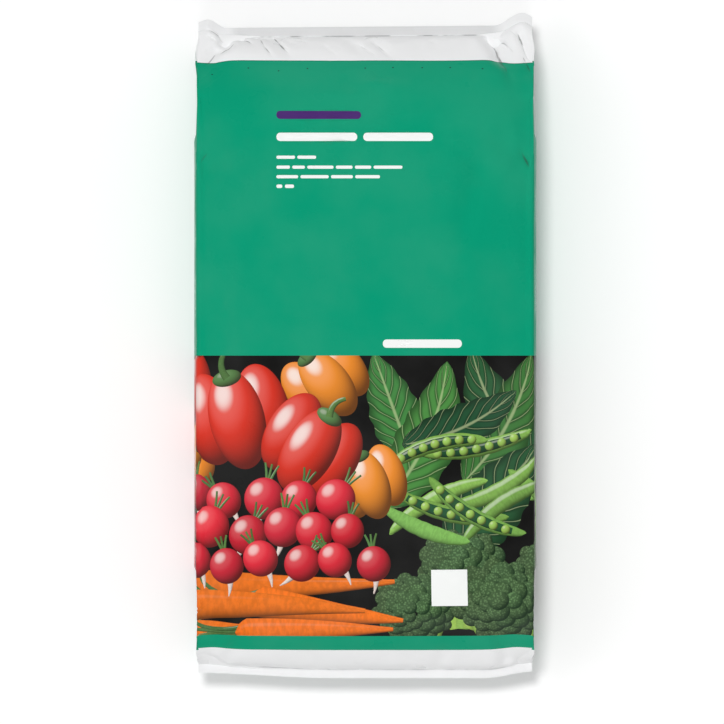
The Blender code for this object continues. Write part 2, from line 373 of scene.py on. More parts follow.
def blurred(grid: Array, cells: float) -> Array:
    """Smooths a grid of values round the ring and along the film.

    Args:
        grid: The values, as rows along the film and columns round the ring.
        cells: How many cells they are smoothed over.

    Returns:
        The smoothed grid.
    """
    reach = int(3 * cells)
    weights = np.exp(-0.5 * (np.arange(-reach, reach + 1) / cells) ** 2)
    weights /= weights.sum()
    held = np.pad(grid, ((reach, reach), (0, 0)), mode="edge")
    rows = len(grid)
    along = sum(weight * held[shift : shift + rows] for shift, weight in enumerate(weights))
    return sum(weight * np.roll(along, shift - reach, axis=1) for shift, weight in enumerate(weights))


@dataclass
class SettledFilm:
    """A cloth simulation of the filled film, which gives the wrinkles that it settles into."""

    shape: SackShape
    cell: float = 0.008
    frames: int = 32
    volume: float = 0.044
    blur_cells: float = 3.2
    gain: float = 0.85
    highest: float = 0.005
    point_mass: float = 0.003
    thickness: float = 0.002
    ground_size: float = 3.0

    def __post_init__(self) -> None:
        """Lays the grid out: its places round the ring and along the film."""
        width, depth = self.shape.panel_width, self.shape.gusset_depth
        panel, half = round(width / self.cell), round(depth / self.cell)
        lengths = (width, depth, depth, width, depth, depth)
        counts = (panel, half, half, panel, half, half)
        starts = (0.0, width, width + depth, width + 2 * depth)
        starts += (2 * width + 2 * depth, 2 * width + 3 * depth)
        parts = zip(starts, lengths, counts)
        self.ring = np.concatenate([s + l * np.arange(count) / count for s, l, count in parts])
        self.film = np.linspace(0.0, self.shape.film_length, round(self.shape.film_length / self.cell) + 1)
        self.heights = np.zeros((len(self.film), len(self.ring)))

    def flat_across(self) -> Array:
        """Lays the grid on the flat, folded film.

        Returns:
            Where each place round the ring then lies across.
        """
        width, depth = self.shape.panel_width, self.shape.gusset_depth
        right = width / 2 - depth + np.abs(self.ring - width - depth)
        left = -width / 2 + depth - np.abs(self.ring - 2 * width - 3 * depth)
        back = width / 2 - (self.ring - width - 2 * depth)
        places = np.where(self.ring < width + 2 * depth, right, np.where(back > -width / 2, back, left))
        return np.where(self.ring <= width, self.ring - width / 2, places)

    def build(self) -> tuple[bpy.types.Object, Array]:
        """Makes the film as a closed mesh, filled, with its flat form as the cloth's rest shape.

        Returns:
            The object, and the number of the vertex at each place of the grid.
        """
        across = self.flat_across()
        rows, columns = len(self.film), len(self.ring)
        numbers = np.zeros((rows, columns), int)
        filled, flat, welded = [], [], {}
        for row, film in enumerate(self.film):
            spots = self.shape.points(self.ring, np.full(columns, film))
            for column in range(columns):
                key = (row, column, 0)
                if row in (0, rows - 1):
                    key = (row, round(across[column] * PLACES_A_METRE))
                if key not in welded:
                    welded[key] = len(filled)
                    filled.append(spots[column])
                    along = self.shape.film_length / 2 - film
                    flat.append((across[column], along, self.shape.weld_height))
                numbers[row, column] = welded[key]
        faces = []
        for row in range(rows - 1):
            for column in range(columns):
                after = (column + 1) % columns
                corners = (numbers[row, column], numbers[row + 1, column])
                corners += (numbers[row + 1, after], numbers[row, after])
                faces.append(tuple(dict.fromkeys(int(corner) for corner in corners)))
        mesh = bpy.data.meshes.new("settling_film")
        mesh.from_pydata([tuple(point) for point in filled], [], [face for face in faces if len(face) > 2])
        film_object = placed("settling_film", mesh)
        film_object.shape_key_add(name="filled")
        rest = film_object.shape_key_add(name="flat")
        rest.data.foreach_set("co", np.array(flat, np.float32).ravel())
        return film_object, numbers

    def dress_as_cloth(self, film_object: bpy.types.Object) -> None:
        """Gives the film its weight and stiffness, and fills it.

        Args:
            film_object: The film, with its flat form in the shape key "flat".
        """
        cloth = film_object.modifiers.new("film", "CLOTH")
        cloth.point_cache.frame_end = self.frames
        settings = cloth.settings
        settings.quality = 6
        settings.mass = self.point_mass
        settings.tension_stiffness = 60
        settings.compression_stiffness = 60
        settings.shear_stiffness = 40
        settings.bending_stiffness = 0.02
        settings.tension_damping = 15
        settings.compression_damping = 15
        settings.shear_damping = 10
        settings.air_damping = 2
        settings.use_pressure = True
        settings.use_pressure_volume = True
        settings.uniform_pressure_force = 0
        settings.target_volume = self.volume
        settings.pressure_factor = 20
        settings.fluid_density = 0.4
        settings.rest_shape_key = film_object.data.shape_keys.key_blocks["flat"]
        cloth.collision_settings.distance_min = self.thickness
        cloth.collision_settings.collision_quality = 2
        cloth.collision_settings.use_self_collision = False

    def settle(self) -> None:
        """Runs the simulation and keeps the heights of its wrinkles."""
        film_object, numbers = self.build()
        bpy.ops.mesh.primitive_plane_add(size=self.ground_size)
        ground = bpy.context.object
        ground.modifiers.new("ground", "COLLISION")
        ground.collision.thickness_outer = self.thickness
        self.dress_as_cloth(film_object)
        scene = bpy.context.scene
        for step in range(1, self.frames + 1):
            scene.frame_set(step)
        settled = film_object.evaluated_get(bpy.context.evaluated_depsgraph_get()).to_mesh()
        spots = np.empty(len(settled.vertices) * 3, np.float32)
        settled.vertices.foreach_get("co", spots)
        spots = spots.reshape(-1, 3)[numbers]
        film_object.evaluated_get(bpy.context.evaluated_depsgraph_get()).to_mesh_clear()
        for helper in (film_object, ground):
            data = helper.data
            bpy.data.objects.remove(helper)
            bpy.data.meshes.remove(data)
        scene.frame_set(1)
        ring, film = np.meshgrid(self.ring, self.film)
        moved = spots - self.shape.points(ring, film)
        outward = self.shape.normals(ring, film)
        heights = (moved * outward).sum(axis=-1)
        heights = (heights - blurred(heights, self.blur_cells)) * self.gain
        self.heights = self.highest * np.tanh(heights / self.highest)

    def height(self, ring: Array, film: Array) -> Array:
        """The heights of the wrinkles, by a smooth curve through the grid's values.

        Args:
            ring: Distances round the film.
            film: Distances along the film.

        Returns:
            One height for each point.
        """
        columns, rows = len(self.ring), len(self.film)
        ends = np.append(self.ring, self.shape.ring_length)
        place = np.interp(np.mod(ring, self.shape.ring_length), ends, np.arange(columns + 1))
        line = np.clip(film, 0.0, self.shape.film_length) / self.shape.film_length * (rows - 1)
        column, row = np.floor(place).astype(int), np.minimum(np.floor(line).astype(int), rows - 2)
        total = np.zeros_like(place)
        for down, row_weight in enumerate(through_four(line - row)):
            at_row = np.clip(row + down - 1, 0, rows - 1)
            for along, weight in enumerate(through_four(place - column)):
                total += row_weight * weight * self.heights[at_row, (column + along - 1) % columns]
        return total


def through_four(share: Array) -> tuple[Array, ...]:
    """The weights of four neighbours in a smooth curve between the middle two.

    Args:
        share: How far each point is from the second neighbour to the third, from 0 to 1.

    Returns:
        One array of weights for each neighbour.
    """
    first = share * (-0.5 + share * (1 - 0.5 * share))
    second = 1 + share**2 * (1.5 * share - 2.5)
    third = share * (0.5 + share * (2 - 1.5 * share))
    return first, second, third, 0.5 * share**2 * (share - 1)


def right_in(inset: float) -> float:
    """The across position of a point of the front, measured in from the right crease."""
    return SackShape.panel_width / 2 - inset


def left_in(inset: float) -> float:
    """The across position of a point of the front, measured in from the left crease."""
    return inset - SackShape.panel_width / 2


# The broad folds, which the CAD part has too. Their film distances are from the top weld
BROAD_FOLDS = (
    Fold((right_in(0.056), 0.001), (right_in(0.041), 0.08), 0.0055, 0.0075),
    Fold((right_in(0.048), 0.01), (right_in(0.026), 0.1), 0.0045, 0.0075),
    Fold((right_in(0.02), 0.006), (right_in(0.003), 0.062), 0.0045, 0.0065),
    Fold((left_in(0.047), 0.008), (left_in(0.01), 0.062), 0.0045, 0.007),
    Fold((left_in(0.04), 0.001), (left_in(0.078), 0.034), 0.0035, 0.007),
    Fold((-0.128, 0.002), (-0.084, 0.062), 0.004, 0.0075),
    Fold((-0.112, 0.001), (-0.078, 0.04), 0.0028, 0.007),
    Fold((-0.027, 0.008), (0.002, 0.058), 0.0028, 0.008),
    Fold((0.006, 0.012), (0.036, 0.062), 0.0026, 0.008),
    Fold((0.144, 0.165), (0.112, 0.305), 0.0035, 0.015),
    Fold((-0.128, 0.125), (-0.134, 0.395), 0.0026, 0.016),
    Fold((right_in(0.004), 0.19), (right_in(0.06), 0.15), 0.003, 0.013),
    Fold((left_in(0.003), 0.205), (left_in(0.05), 0.16), 0.0028, 0.013),
    Fold((-0.06, 0.45), (-0.165, 0.6), 0.0022, 0.018),
    Fold((0.09, 0.52), (0.176, 0.65), 0.0024, 0.017),
)
# The broad folds at the other end, with film distances from the bottom weld
BROAD_BOTTOM_FOLDS = (
    Fold((right_in(0.03), 0.003), (right_in(0.052), 0.105), 0.004, 0.009),
    Fold((left_in(0.034), 0.003), (left_in(0.06), 0.1), 0.0036, 0.009),
    Fold((-0.05, 0.004), (-0.075, 0.065), 0.002, 0.009),
    Fold((0.085, 0.004), (0.1, 0.07), 0.0022, 0.009),
)
# The fine creases round the top weld, as the photograph shows them
FINE_FOLDS = (
    Fold((0.149, 0.003), (0.162, 0.066), 0.003, 0.0022, 0.0016),
    Fold((0.151, 0.006), (0.184, 0.05), 0.002, 0.002, 0.0022),
    Fold((0.156, 0.028), (0.177, 0.086), 0.0026, 0.0022, -0.0022),
    Fold((0.184, 0.012), (0.204, 0.066), 0.003, 0.0022, -0.0012),
    Fold((0.189, 0.044), (0.203, 0.08), 0.0022, 0.0018),
    Fold((0.168, 0.02), (0.172, 0.044), 0.0012, 0.002, 0.001),
    Fold((0.158, 0.046), (0.166, 0.072), 0.0018, 0.002, 0.0008),
    Fold((0.176, 0.008), (0.19, 0.028), 0.0012, 0.002, -0.001),
    Fold((-0.2, 0.002), (-0.158, 0.014), 0.0028, 0.0022, -0.001),
    Fold((-0.172, 0.003), (-0.14, 0.012), 0.002, 0.002, -0.0008),
    Fold((-0.194, 0.04), (-0.178, 0.034), 0.0016, 0.0018),
    Fold((-0.198, 0.014), (-0.18, 0.024), 0.0016, 0.0018, 0.001),
    Fold((-0.146, 0.002), (-0.118, 0.016), 0.0014, 0.002, -0.0012),
    Fold((-0.158, 0.02), (-0.181, 0.046), 0.0024, 0.002, 0.003),
    Fold((-0.179, 0.04), (-0.196, 0.066), 0.0022, 0.002, 0.0012),
    Fold((-0.158, 0.004), (-0.13, 0.036), 0.0024, 0.002, -0.0014),
    Fold((-0.131, 0.004), (-0.103, 0.062), 0.002, 0.002, -0.005),
    Fold((-0.115, 0.004), (-0.086, 0.056), 0.0026, 0.0022, -0.0026),
    Fold((-0.09, 0.014), (-0.066, 0.024), 0.001, 0.002),
    Fold((-0.054, 0.026), (-0.028, 0.06), 0.001, 0.0024),
    Fold((-0.011, 0.026), (0.018, 0.056), 0.0014, 0.0022),
    Fold((0.008, 0.022), (0.034, 0.058), 0.0016, 0.0022),
    Fold((0.07, 0.01), (0.092, 0.03), 0.0008, 0.0026),
    Fold((left_in(0.001), 0.19), (left_in(0.016), 0.172), 0.0016, 0.0026),
    Fold((right_in(0.001), 0.198), (right_in(0.018), 0.166), 0.0024, 0.0028, 0.0012),
)


@dataclass
class Relief:
    """Everything that raises or sinks the film from its smooth form."""

    shape: SackShape
    settled: SettledFilm
    seed: int = 7
    # The gathers that run in from the welds, on the front's two ends and the back
    gathers: int = 46
    gather_depths: Triple = (0.0011, 0.0008, 0.0016)
    gather_starts: Pair = (0.001, 0.008)
    gather_runs: Pair = (0.016, 0.052)
    gather_widths: Pair = (0.0026, 0.005)
    gather_lean: float = 0.012
    gather_fan: float = 0.06
    # The front's folds fade out past its creases, and the wrinkles near the welds
    edge_run: float = 0.006
    weld_run: float = 0.024
    least_slope: float = 0.42
    # The filling stretches the sides, so they wrinkle less and bulge hardly at all
    side_start: float = 0.03
    side_run: float = 0.04
    dent_share: float = 0.9
    bulge_share: float = 0.2
    bulge: float = 0.0006
    side_slack: float = 0.0012
    slack_start: float = 0.06
    slack_run: float = 0.1
    still_end: float = 0.11
    still_share: float = 0.35
    # The painted shade along a crease follows the bottom of a fine fold, broken here and there
    crease_depth: float = 0.0026
    crease_width: float = 0.5
    crease_break: float = 0.2
    break_pitch: Pair = (170, 260)
    break_shift: float = 40000

    def __post_init__(self) -> None:
        """Draws the small gathers that run in from both welds."""
        draw = random.Random(self.seed)
        self.top_gathers = self.gathered(draw, self.gather_depths[0])
        self.bottom_gathers = self.gathered(draw, self.gather_depths[1])
        self.back_gathers = self.gathered(draw, self.gather_depths[2])

    def gathered(self, draw: random.Random, deepest: float) -> list[Fold]:
        """Draws one row of gathers.

        Args:
            draw: The source of the random draws.
            deepest: The depth of the deepest one.

        Returns:
            The gathers, with film distances from their own weld.
        """
        half = self.shape.panel_width / 2 - self.edge_run
        folds = []
        for _ in range(self.gathers):
            across = draw.uniform(-half, half)
            start = draw.uniform(*self.gather_starts)
            end = start + draw.uniform(*self.gather_runs)
            lean = draw.uniform(-self.gather_lean, self.gather_lean) - self.gather_fan * across
            depth = deepest * draw.uniform(0.3, 1.0) * draw.choice((1, 1, -0.7))
            width = draw.uniform(*self.gather_widths)
            folds.append(Fold((across, start), (across + lean, end), depth, width))
        return folds

    def moves(self, ring: Array, film: Array) -> Array:
        """How far the film is moved from its smooth form at these points.

        The wrinkles and the back's gathers move it straight out. The front's folds move it up and
        down only, so that the rows of the print stay straight where they cross a fold.

        Args:
            ring: Distances round the film.
            film: Distances along the film.

        Returns:
            One move along x, y and z for each point.
        """
        across = self.shape.unrolled(ring)
        from_bottom = self.shape.film_length - film
        nearer = np.minimum(film, from_bottom)
        deepest = self.shape.rise(np.maximum(nearer, 0.0))
        half = self.shape.panel_width / 2
        broad = sum(fold.height(across, film) for fold in BROAD_FOLDS)
        broad = broad + sum(fold.height(across, from_bottom) for fold in BROAD_BOTTOM_FOLDS)
        fine = sum(fold.height(across, film) for fold in (*FINE_FOLDS, *self.top_gathers))
        fine = fine + sum(fold.height(across, from_bottom) for fold in self.bottom_gathers)
        on_front = ease((half + self.edge_run - np.abs(across)) / self.edge_run)
        front = (np.maximum(broad, -deepest / 3) + np.maximum(fine, -deepest / 4)) * on_front
        behind = np.sign(across) * (self.shape.ring_length / 2 - np.abs(across))
        on_back = np.where(np.abs(behind) <= half, 1.0, 0.0)
        back = sum(fold.height(behind, film) for fold in self.back_gathers)
        back = back + sum(fold.height(-behind, from_bottom) for fold in self.back_gathers)
        back = np.maximum(back, -deepest / 4) * on_back
        outward = self.shape.normals(ring, film)
        moved = outward * (self.wrinkles(ring, film, on_back) + back)[:, None]
        moved[:, 2] += front / np.maximum(outward[:, 2], self.least_slope)
        return moved

    def wrinkles(self, ring: Array, film: Array, on_back: Array) -> Array:
        """The heights of the settled wrinkles, which are held in on the stretched sides.

        Args:
            ring: Distances round the film.
            film: Distances along the film.
            on_back: 1 for a point of the back, and else 0.

        Returns:
            One height for each point.
        """
        half = self.shape.panel_width / 2
        across = self.shape.unrolled(ring)
        nearer = np.minimum(film, self.shape.film_length - film)
        free = self.settled.height(ring, film) * ease(nearer / self.weld_run)
        on_side = ease((np.abs(across) - half + self.side_start) / self.side_run) * (1 - on_back)
        held = np.minimum(self.dent_share * free, self.bulge + self.bulge_share * free)
        held = held - self.side_slack * ease((nearer - self.slack_start) / self.slack_run)
        held = np.where(nearer < self.still_end, self.still_share * held, held)
        return free + (held - free) * on_side

    def creases(self, ring: Array, film: Array) -> Array:
        """How near each point is to the bottom of a fine crease, which is where the painted shade along it
        lies.

        Args:
            ring: Distances round the film.
            film: Distances along the film.

        Returns:
            A share from 0 to 1 for each point.
        """
        across = self.shape.unrolled(ring)
        found = np.zeros_like(across)
        for fold in FINE_FOLDS:
            sharp = replace(fold, half_width=fold.half_width * self.crease_width)
            shift = fold.depth * self.break_shift
            place = film * self.break_pitch[1] + across * self.break_pitch[0] + shift
            broken = 1 - self.crease_break + self.crease_break * np.sin(place)
            found = np.maximum(found, -sharp.height(across, film) / self.crease_depth * broken)
        return np.clip(found, 0.0, 1.0)


class Paint(Enum):
    """The ways in which a printed form is drawn, each with its own material on the film."""

    WHITE = "white_film"
    GREEN = "green_print"
    GROUND = "picture_ground"
    FLAT = "flat_print"
    HOLE = "vent_hole"
    ROUND = "round_print"
    LONG = "long_print"
    LEAF = "leaf_print"
    BUD = "bud_print"


# How finely outlines are drawn, and where the light on the drawn forms comes from
OUTLINE_STEP = 0.0028
DRAWN_LIGHT = (-0.63, -0.77)


@dataclass
class Form:
    """One printed form: its outline on the flat front, how it is drawn, and its colour.

    The outline's points are (across, film). Each subclass says, for points inside it, where they lie
    in the form: two values from -1 to 1 or 0 to 1, and one more that its paint uses. The seed is a
    number of the form's own, which goes into its colour's alpha.
    """

    outline: Array
    paint: Paint
    tint: Colour
    seed: float = 0.5
    gloss: float = 0.6

    def spots(self, points: Array) -> Array:
        """Where these points lie in the form."""
        return np.zeros((len(points), 3))


@dataclass
class Disc(Form):
    """A round or oval form, drawn as a dome that is lit from the upper left."""

    centre: Pair = (0.0, 0.0)
    radii: Pair = (0.01, 0.01)
    turn: float = 0.0

    @classmethod
    def at(
        cls, centre: Pair, radii: Pair, paint: Paint, tint: Colour,
        turn: float = 0.0, seed: float = 0.5, gloss: float = 0.6,
    ) -> "Disc":
        """An oval with its outline worked out.

        Args:
            centre: Its middle, as (across, film).
            radii: Its half width and half height, before it is turned.
            paint: How it is drawn.
            tint: Its colour.
            turn: The angle it is turned by.
            seed: A number of its own.
            gloss: How strong its shine is.

        Returns:
            The oval.
        """
        count = max(int((radii[0] + radii[1]) * math.pi / OUTLINE_STEP), 10)
        angles = np.linspace(0, 2 * math.pi, count, endpoint=False)
        local = np.stack((radii[0] * np.cos(angles), radii[1] * np.sin(angles)), axis=-1)
        return cls(turned(local, turn) + np.array(centre), paint, tint, seed, gloss, centre, radii, turn)

    def spots(self, points: Array) -> Array:
        """Where these points lie in the unit circle that the oval is stretched from.

        Args:
            points: Points as (across, film).

        Returns:
            For each point, its place to the right and up, and the gloss.
        """
        local = turned(points - np.array(self.centre), -self.turn) / np.array(self.radii)
        upright = turned(local, self.turn)
        return np.stack((upright[:, 0], -upright[:, 1], np.full(len(points), self.gloss)), axis=-1)


@dataclass
class Band(Form):
    """A long form round a middle line, such as a pod, a stalk or a leaf, lit across its line."""

    middle: Array | None = None
    widths: Array | None = None

    @classmethod
    def along(
        cls, middle: Array, widths: Array, paint: Paint, tint: Colour, seed: float = 0.5
    ) -> "Band":
        """A band with its outline worked out.

        Args:
            middle: Its middle line, as (across, film) points.
            widths: Its half width at each of them.
            paint: How it is drawn.
            tint: Its colour.
            seed: A number of its own.

        Returns:
            The band.
        """
        aside = side_ways(middle)
        left = middle + aside * widths[:, None]
        right = middle - aside * widths[:, None]
        outline = np.concatenate((left, right[::-1]))
        return cls(without_repeats(outline), paint, tint, seed, middle=middle, widths=widths)

    def spots(self, points: Array) -> Array:
        """Where these points lie in the band.

        Args:
            points: Points as (across, film).

        Returns:
            For each point, how far it is to the side and along, and how much its side faces the light.
        """
        steps = np.diff(self.middle, axis=0)
        lengths = np.maximum(np.hypot(*steps.T), 1e-9)
        offset = points[:, None, :] - self.middle[None, :-1, :]
        share = np.clip((offset * steps).sum(-1) / lengths**2, 0, 1)
        gap = np.hypot(*np.moveaxis(offset - share[..., None] * steps, -1, 0))
        nearest = gap.argmin(axis=1)
        rows = np.arange(len(points))
        share = share[rows, nearest]
        aside = side_ways(self.middle)[nearest]
        sideways = (offset[rows, nearest] * aside).sum(-1)
        width = self.widths[nearest] * (1 - share) + self.widths[nearest + 1] * share
        across = np.clip(sideways / np.maximum(width, 1e-5), -1, 1)
        facing = DRAWN_LIGHT[0] * aside[:, 0] + DRAWN_LIGHT[1] * aside[:, 1]
        return np.stack((across, (nearest + share) / len(steps), facing), axis=-1)


def turned(points: Array, angle: float) -> Array:
    """Points turned about the origin.

    Args:
        points: The points.
        angle: The angle to turn them by.

    Returns:
        The turned points.
    """
    across, along = points[..., 0], points[..., 1]
    cosine, sine = math.cos(angle), math.sin(angle)
    return np.stack((across * cosine - along * sine, across * sine + along * cosine), axis=-1)


def side_ways(middle: Array) -> Array:
    """The directions straight to the side of a line.

    Args:
        middle: The line's points.

    Returns:
        One direction, of length 1, for each point.
    """
    along = np.gradient(middle, axis=0)
    along /= np.maximum(np.hypot(*along.T), 1e-9)[:, None]
    return np.stack((-along[:, 1], along[:, 0]), axis=-1)


def without_repeats(outline: Array) -> Array:
    """An outline without points that lie on the one before."""
    gaps = np.hypot(*(outline - np.roll(outline, 1, axis=0)).T)
    return outline[gaps > 2e-4]


def inside(points: Array, outline: Array) -> Array:
    """Tells which points lie inside an outline.

    Args:
        points: The points.
        outline: The outline's points, in order.

    Returns:
        True for each point inside.
    """
    found = np.zeros(len(points), bool)
    x, y = points[:, 0], points[:, 1]
    for (ax, ay), (bx, by) in zip(outline, np.roll(outline, -1, axis=0)):
        if ay == by:
            continue
        crosses = (ay > y) != (by > y)
        found ^= crosses & (x < (bx - ax) * (y - ay) / (by - ay) + ax)
    return found


def clipped(outline: Array, low: Pair, high: Pair) -> Array:
    """An outline cut off where it leaves a rectangle.

    Args:
        outline: The outline's points, in order.
        low: The rectangle's lowest values.
        high: Its highest values.

    Returns:
        The outline of what is left, or no points.
    """
    for axis, limit, sign in ((0, low[0], 1), (0, high[0], -1), (1, low[1], 1), (1, high[1], -1)):
        kept = []
        for here, after in zip(outline, np.roll(outline, -1, axis=0)):
            within, within_after = sign * (here[axis] - limit), sign * (after[axis] - limit)
            if within >= 0:
                kept.append(here)
            if (within >= 0) != (within_after >= 0):
                kept.append(here + (after - here) * within / (within - within_after))
        if not kept:
            return np.zeros((0, 2))
        outline = np.array(kept)
    return outline


def bowed(start: Pair, end: Pair, bow: float, count: int) -> Array:
    """A line between two places, bowed to its side.

    Args:
        start: Where it starts.
        end: Where it ends.
        bow: How far its middle is to the side.
        count: How many points it has.

    Returns:
        Its points.
    """
    begin, stop = np.array(start), np.array(end)
    along = stop - begin
    aside = np.array([-along[1], along[0]]) / max(float(np.hypot(*along)), 1e-9)
    shares = np.linspace(0.0, 1.0, count)[:, None]
    return begin + along * shares + aside * bow * 4 * shares * (1 - shares)


@dataclass
class GardenPicture:
    """A made-up still life of garden produce, drawn in plain forms on a dark ground.

    Places are measured across from the sack's middle line and up from the picture's lower edge.
    """

    bottom: float
    height: float
    reach: float
    seed: int = 11
    red: Colour = from_screen(232, 56, 38)
    orange: Colour = from_screen(246, 146, 44)
    pink: Colour = from_screen(222, 44, 62)
    root: Colour = from_screen(246, 122, 36)
    pale: Colour = from_screen(240, 222, 214)
    pod: Colour = from_screen(134, 186, 88)
    pea: Colour = from_screen(158, 200, 92)
    leaf: Colour = from_screen(70, 132, 64)
    deep_leaf: Colour = from_screen(38, 84, 50)
    stem: Colour = from_screen(92, 132, 72)
    floret: Colour = from_screen(48, 96, 54)
    radish_spacing: float = 0.0435
    radish_radii: Pair = (0.0195, 0.0245)
    root_width: float = 0.0195
    pod_width: float = 0.0088
    pea_radii: Pair = (0.0056, 0.0056)
    clumps: int = 44
    golden_angle: float = 2.39996

    def __post_init__(self) -> None:
        """Draws the whole picture, from what lies lowest to what lies on top."""
        self.draw = random.Random(self.seed)
        self.forms: list[Form] = []
        self.leaves()
        self.florets()
        self.pods()
        self.peppers()
        self.roots()
        self.radishes()

    def place(self, points: Array) -> Array:
        """Points of the picture as (across, film)."""
        points = np.asarray(points, float)
        return np.stack((points[..., 0], self.bottom - points[..., 1]), axis=-1)

    def varied(self, tint: Colour, spread: float = 0.16) -> Colour:
        """A colour drawn a little lighter or darker, and a little warmer or cooler.

        Args:
            tint: The colour to start from.
            spread: How far its lightness may move.

        Returns:
            The drawn colour.
        """
        light = 1 + self.draw.uniform(-spread, spread)
        warm = 1 + self.draw.uniform(-spread, spread) / 2
        return tint[0] * light * warm, tint[1] * light, tint[2] * light / warm

    def keep(self, form: Form) -> None:
        """Adds a form, cut off at the picture's edges.

        Args:
            form: The form.
        """
        low, high = (-self.reach, self.bottom - self.height), (self.reach, self.bottom)
        form.outline = without_repeats(clipped(form.outline, low, high))
        if len(form.outline) > 2:
            self.forms.append(form)

    def disc(
        self, centre: Pair, radii: Pair, tint: Colour,
        turn: float = 0.0, gloss: float = 0.6, paint: Paint = Paint.ROUND,
    ) -> None:
        """Adds a round form."""
        place = tuple(self.place(np.array(centre)))
        self.keep(Disc.at(place, radii, paint, tint, -turn, self.draw.random(), gloss))

    def band(self, line: Array, widths: Array, tint: Colour, paint: Paint = Paint.LONG) -> None:
        """Adds a long form along a line."""
        self.keep(Band.along(self.place(line), widths, paint, tint, self.draw.random()))

    def stalk(self, start: Pair, end: Pair, bow: float, width: float, tint: Colour) -> None:
        """Adds a stalk that thins towards its end."""
        self.band(bowed(start, end, bow, 9), np.linspace(width, width * 0.55, 9), tint)

    def pepper(self, centre: Pair, size: float, lean: float, tint: Colour) -> None:
        """Adds a lobed pepper with its green cap and stalk.

        Args:
            centre: Its middle.
            size: Its height.
            lean: The angle it leans by.
            tint: Its colour.
        """
        middle = np.array(centre)
        # Each lobe: its middle and its half width and height, as shares of the size
        lobes = ((-0.27, 0.03, 0.27, 0.46), (0.28, 0.0, 0.26, 0.45), (0.0, -0.04, 0.28, 0.5))
        for aside, down, wide, high in lobes:
            spot = middle + turned(np.array([aside, down]) * size, lean)
            self.disc(tuple(spot), (wide * size, high * size), self.varied(tint, 0.06), lean, 0.8)
        top = middle + turned(np.array([0.0, 0.38]) * size, lean)
        self.disc(tuple(top), (0.15 * size, 0.08 * size), self.varied(self.stem), lean, 0.25)
        tip = top + turned(np.array([0.05, 0.26]) * size, lean)
        self.stalk(tuple(top), tuple(tip), 0.05 * size, 0.04 * size, self.varied(self.stem))

    def peppers(self) -> None:
        """The peppers, in the upper part of the left half and round the left side."""
        # Each pepper: its middle, its size, its lean and its colour
        places = (
            (-0.322, 0.255, 0.11, 0.5, self.red), (-0.236, 0.214, 0.092, -0.9, self.orange),
            (-0.243, 0.31, 0.1, 0.3, self.red), (-0.048, 0.312, 0.094, 0.7, self.orange),
            (-0.158, 0.27, 0.122, 0.25, self.red), (0.004, 0.19, 0.086, 0.35, self.orange),
            (-0.066, 0.232, 0.112, -0.55, self.red),
        )
        for across, up, size, lean, tint in places:
            self.pepper((across, up), size, lean, self.varied(tint, 0.08))

    def radishes(self) -> None:
        """The radishes, in rows below the peppers, each with a pale tip and cut stalks."""
        # Each row: how high it lies, where its first one is across, and how many it has
        rows = ((0.172, -0.345, 8), (0.132, -0.365, 9), (0.094, -0.34, 9))
        for up, first, count in rows:
            for number in range(count):
                across = first + self.radish_spacing * number + self.draw.uniform(-0.006, 0.006)
                radius = self.draw.uniform(*self.radish_radii)
                lean = self.draw.uniform(-0.7, 0.7)
                spot = np.array([across, up + self.draw.uniform(-0.006, 0.006)])
                for spread in (-0.35, 0.0, 0.35):
                    tip = spot + turned(np.array([spread * radius, radius * 1.75]), lean)
                    stem = self.varied(self.stem, 0.25)
                    self.stalk(tuple(spot), tuple(tip), spread * 0.006, 0.0022, stem)
                tail = spot - turned(np.array([0.2, 1.75]) * radius, lean)
                line = bowed(tuple(spot), tuple(tail), 0.003, 9)
                self.band(line, np.linspace(0.0075, 0.0006, 9), self.pale)
                self.disc(tuple(spot), (radius, radius * 1.04), self.varied(self.pink, 0.14), lean)

    def roots(self) -> None:
        """The orange roots, along the lower edge, with their cut green tops."""
        # Each root: where its thick end is, and where its tip is
        places = (
            (-0.262, 0.07, 0.036, 0.07), (-0.14, 0.048, 0.046, 0.022), (-0.285, 0.01, -0.04, 0.004),
            (-0.24, 0.04, 0.0, 0.034), (-0.158, 0.004, 0.034, 0.01),
        )
        for across, up, end_across, end_up in places:
            for spread in (-0.02, -0.007, 0.007, 0.02):
                start, end = (across + 0.012, up + spread * 0.5), (across - 0.075, up + spread * 2.2)
                self.stalk(start, end, spread, 0.0034, self.varied(self.stem))
            shares = np.linspace(0.0, 1.0, 40)
            taper = np.minimum(np.sqrt(shares * 14), 1.0) * (1 - shares**1.6 * 0.88)
            line = bowed((across, up), (end_across, end_up), self.draw.uniform(-0.01, 0.01), 40)
            self.band(line, self.root_width * taper + 0.0004, self.varied(self.root, 0.1))

    def pods(self) -> None:
        """The pods, across the middle of the right half, some of them open on their peas."""
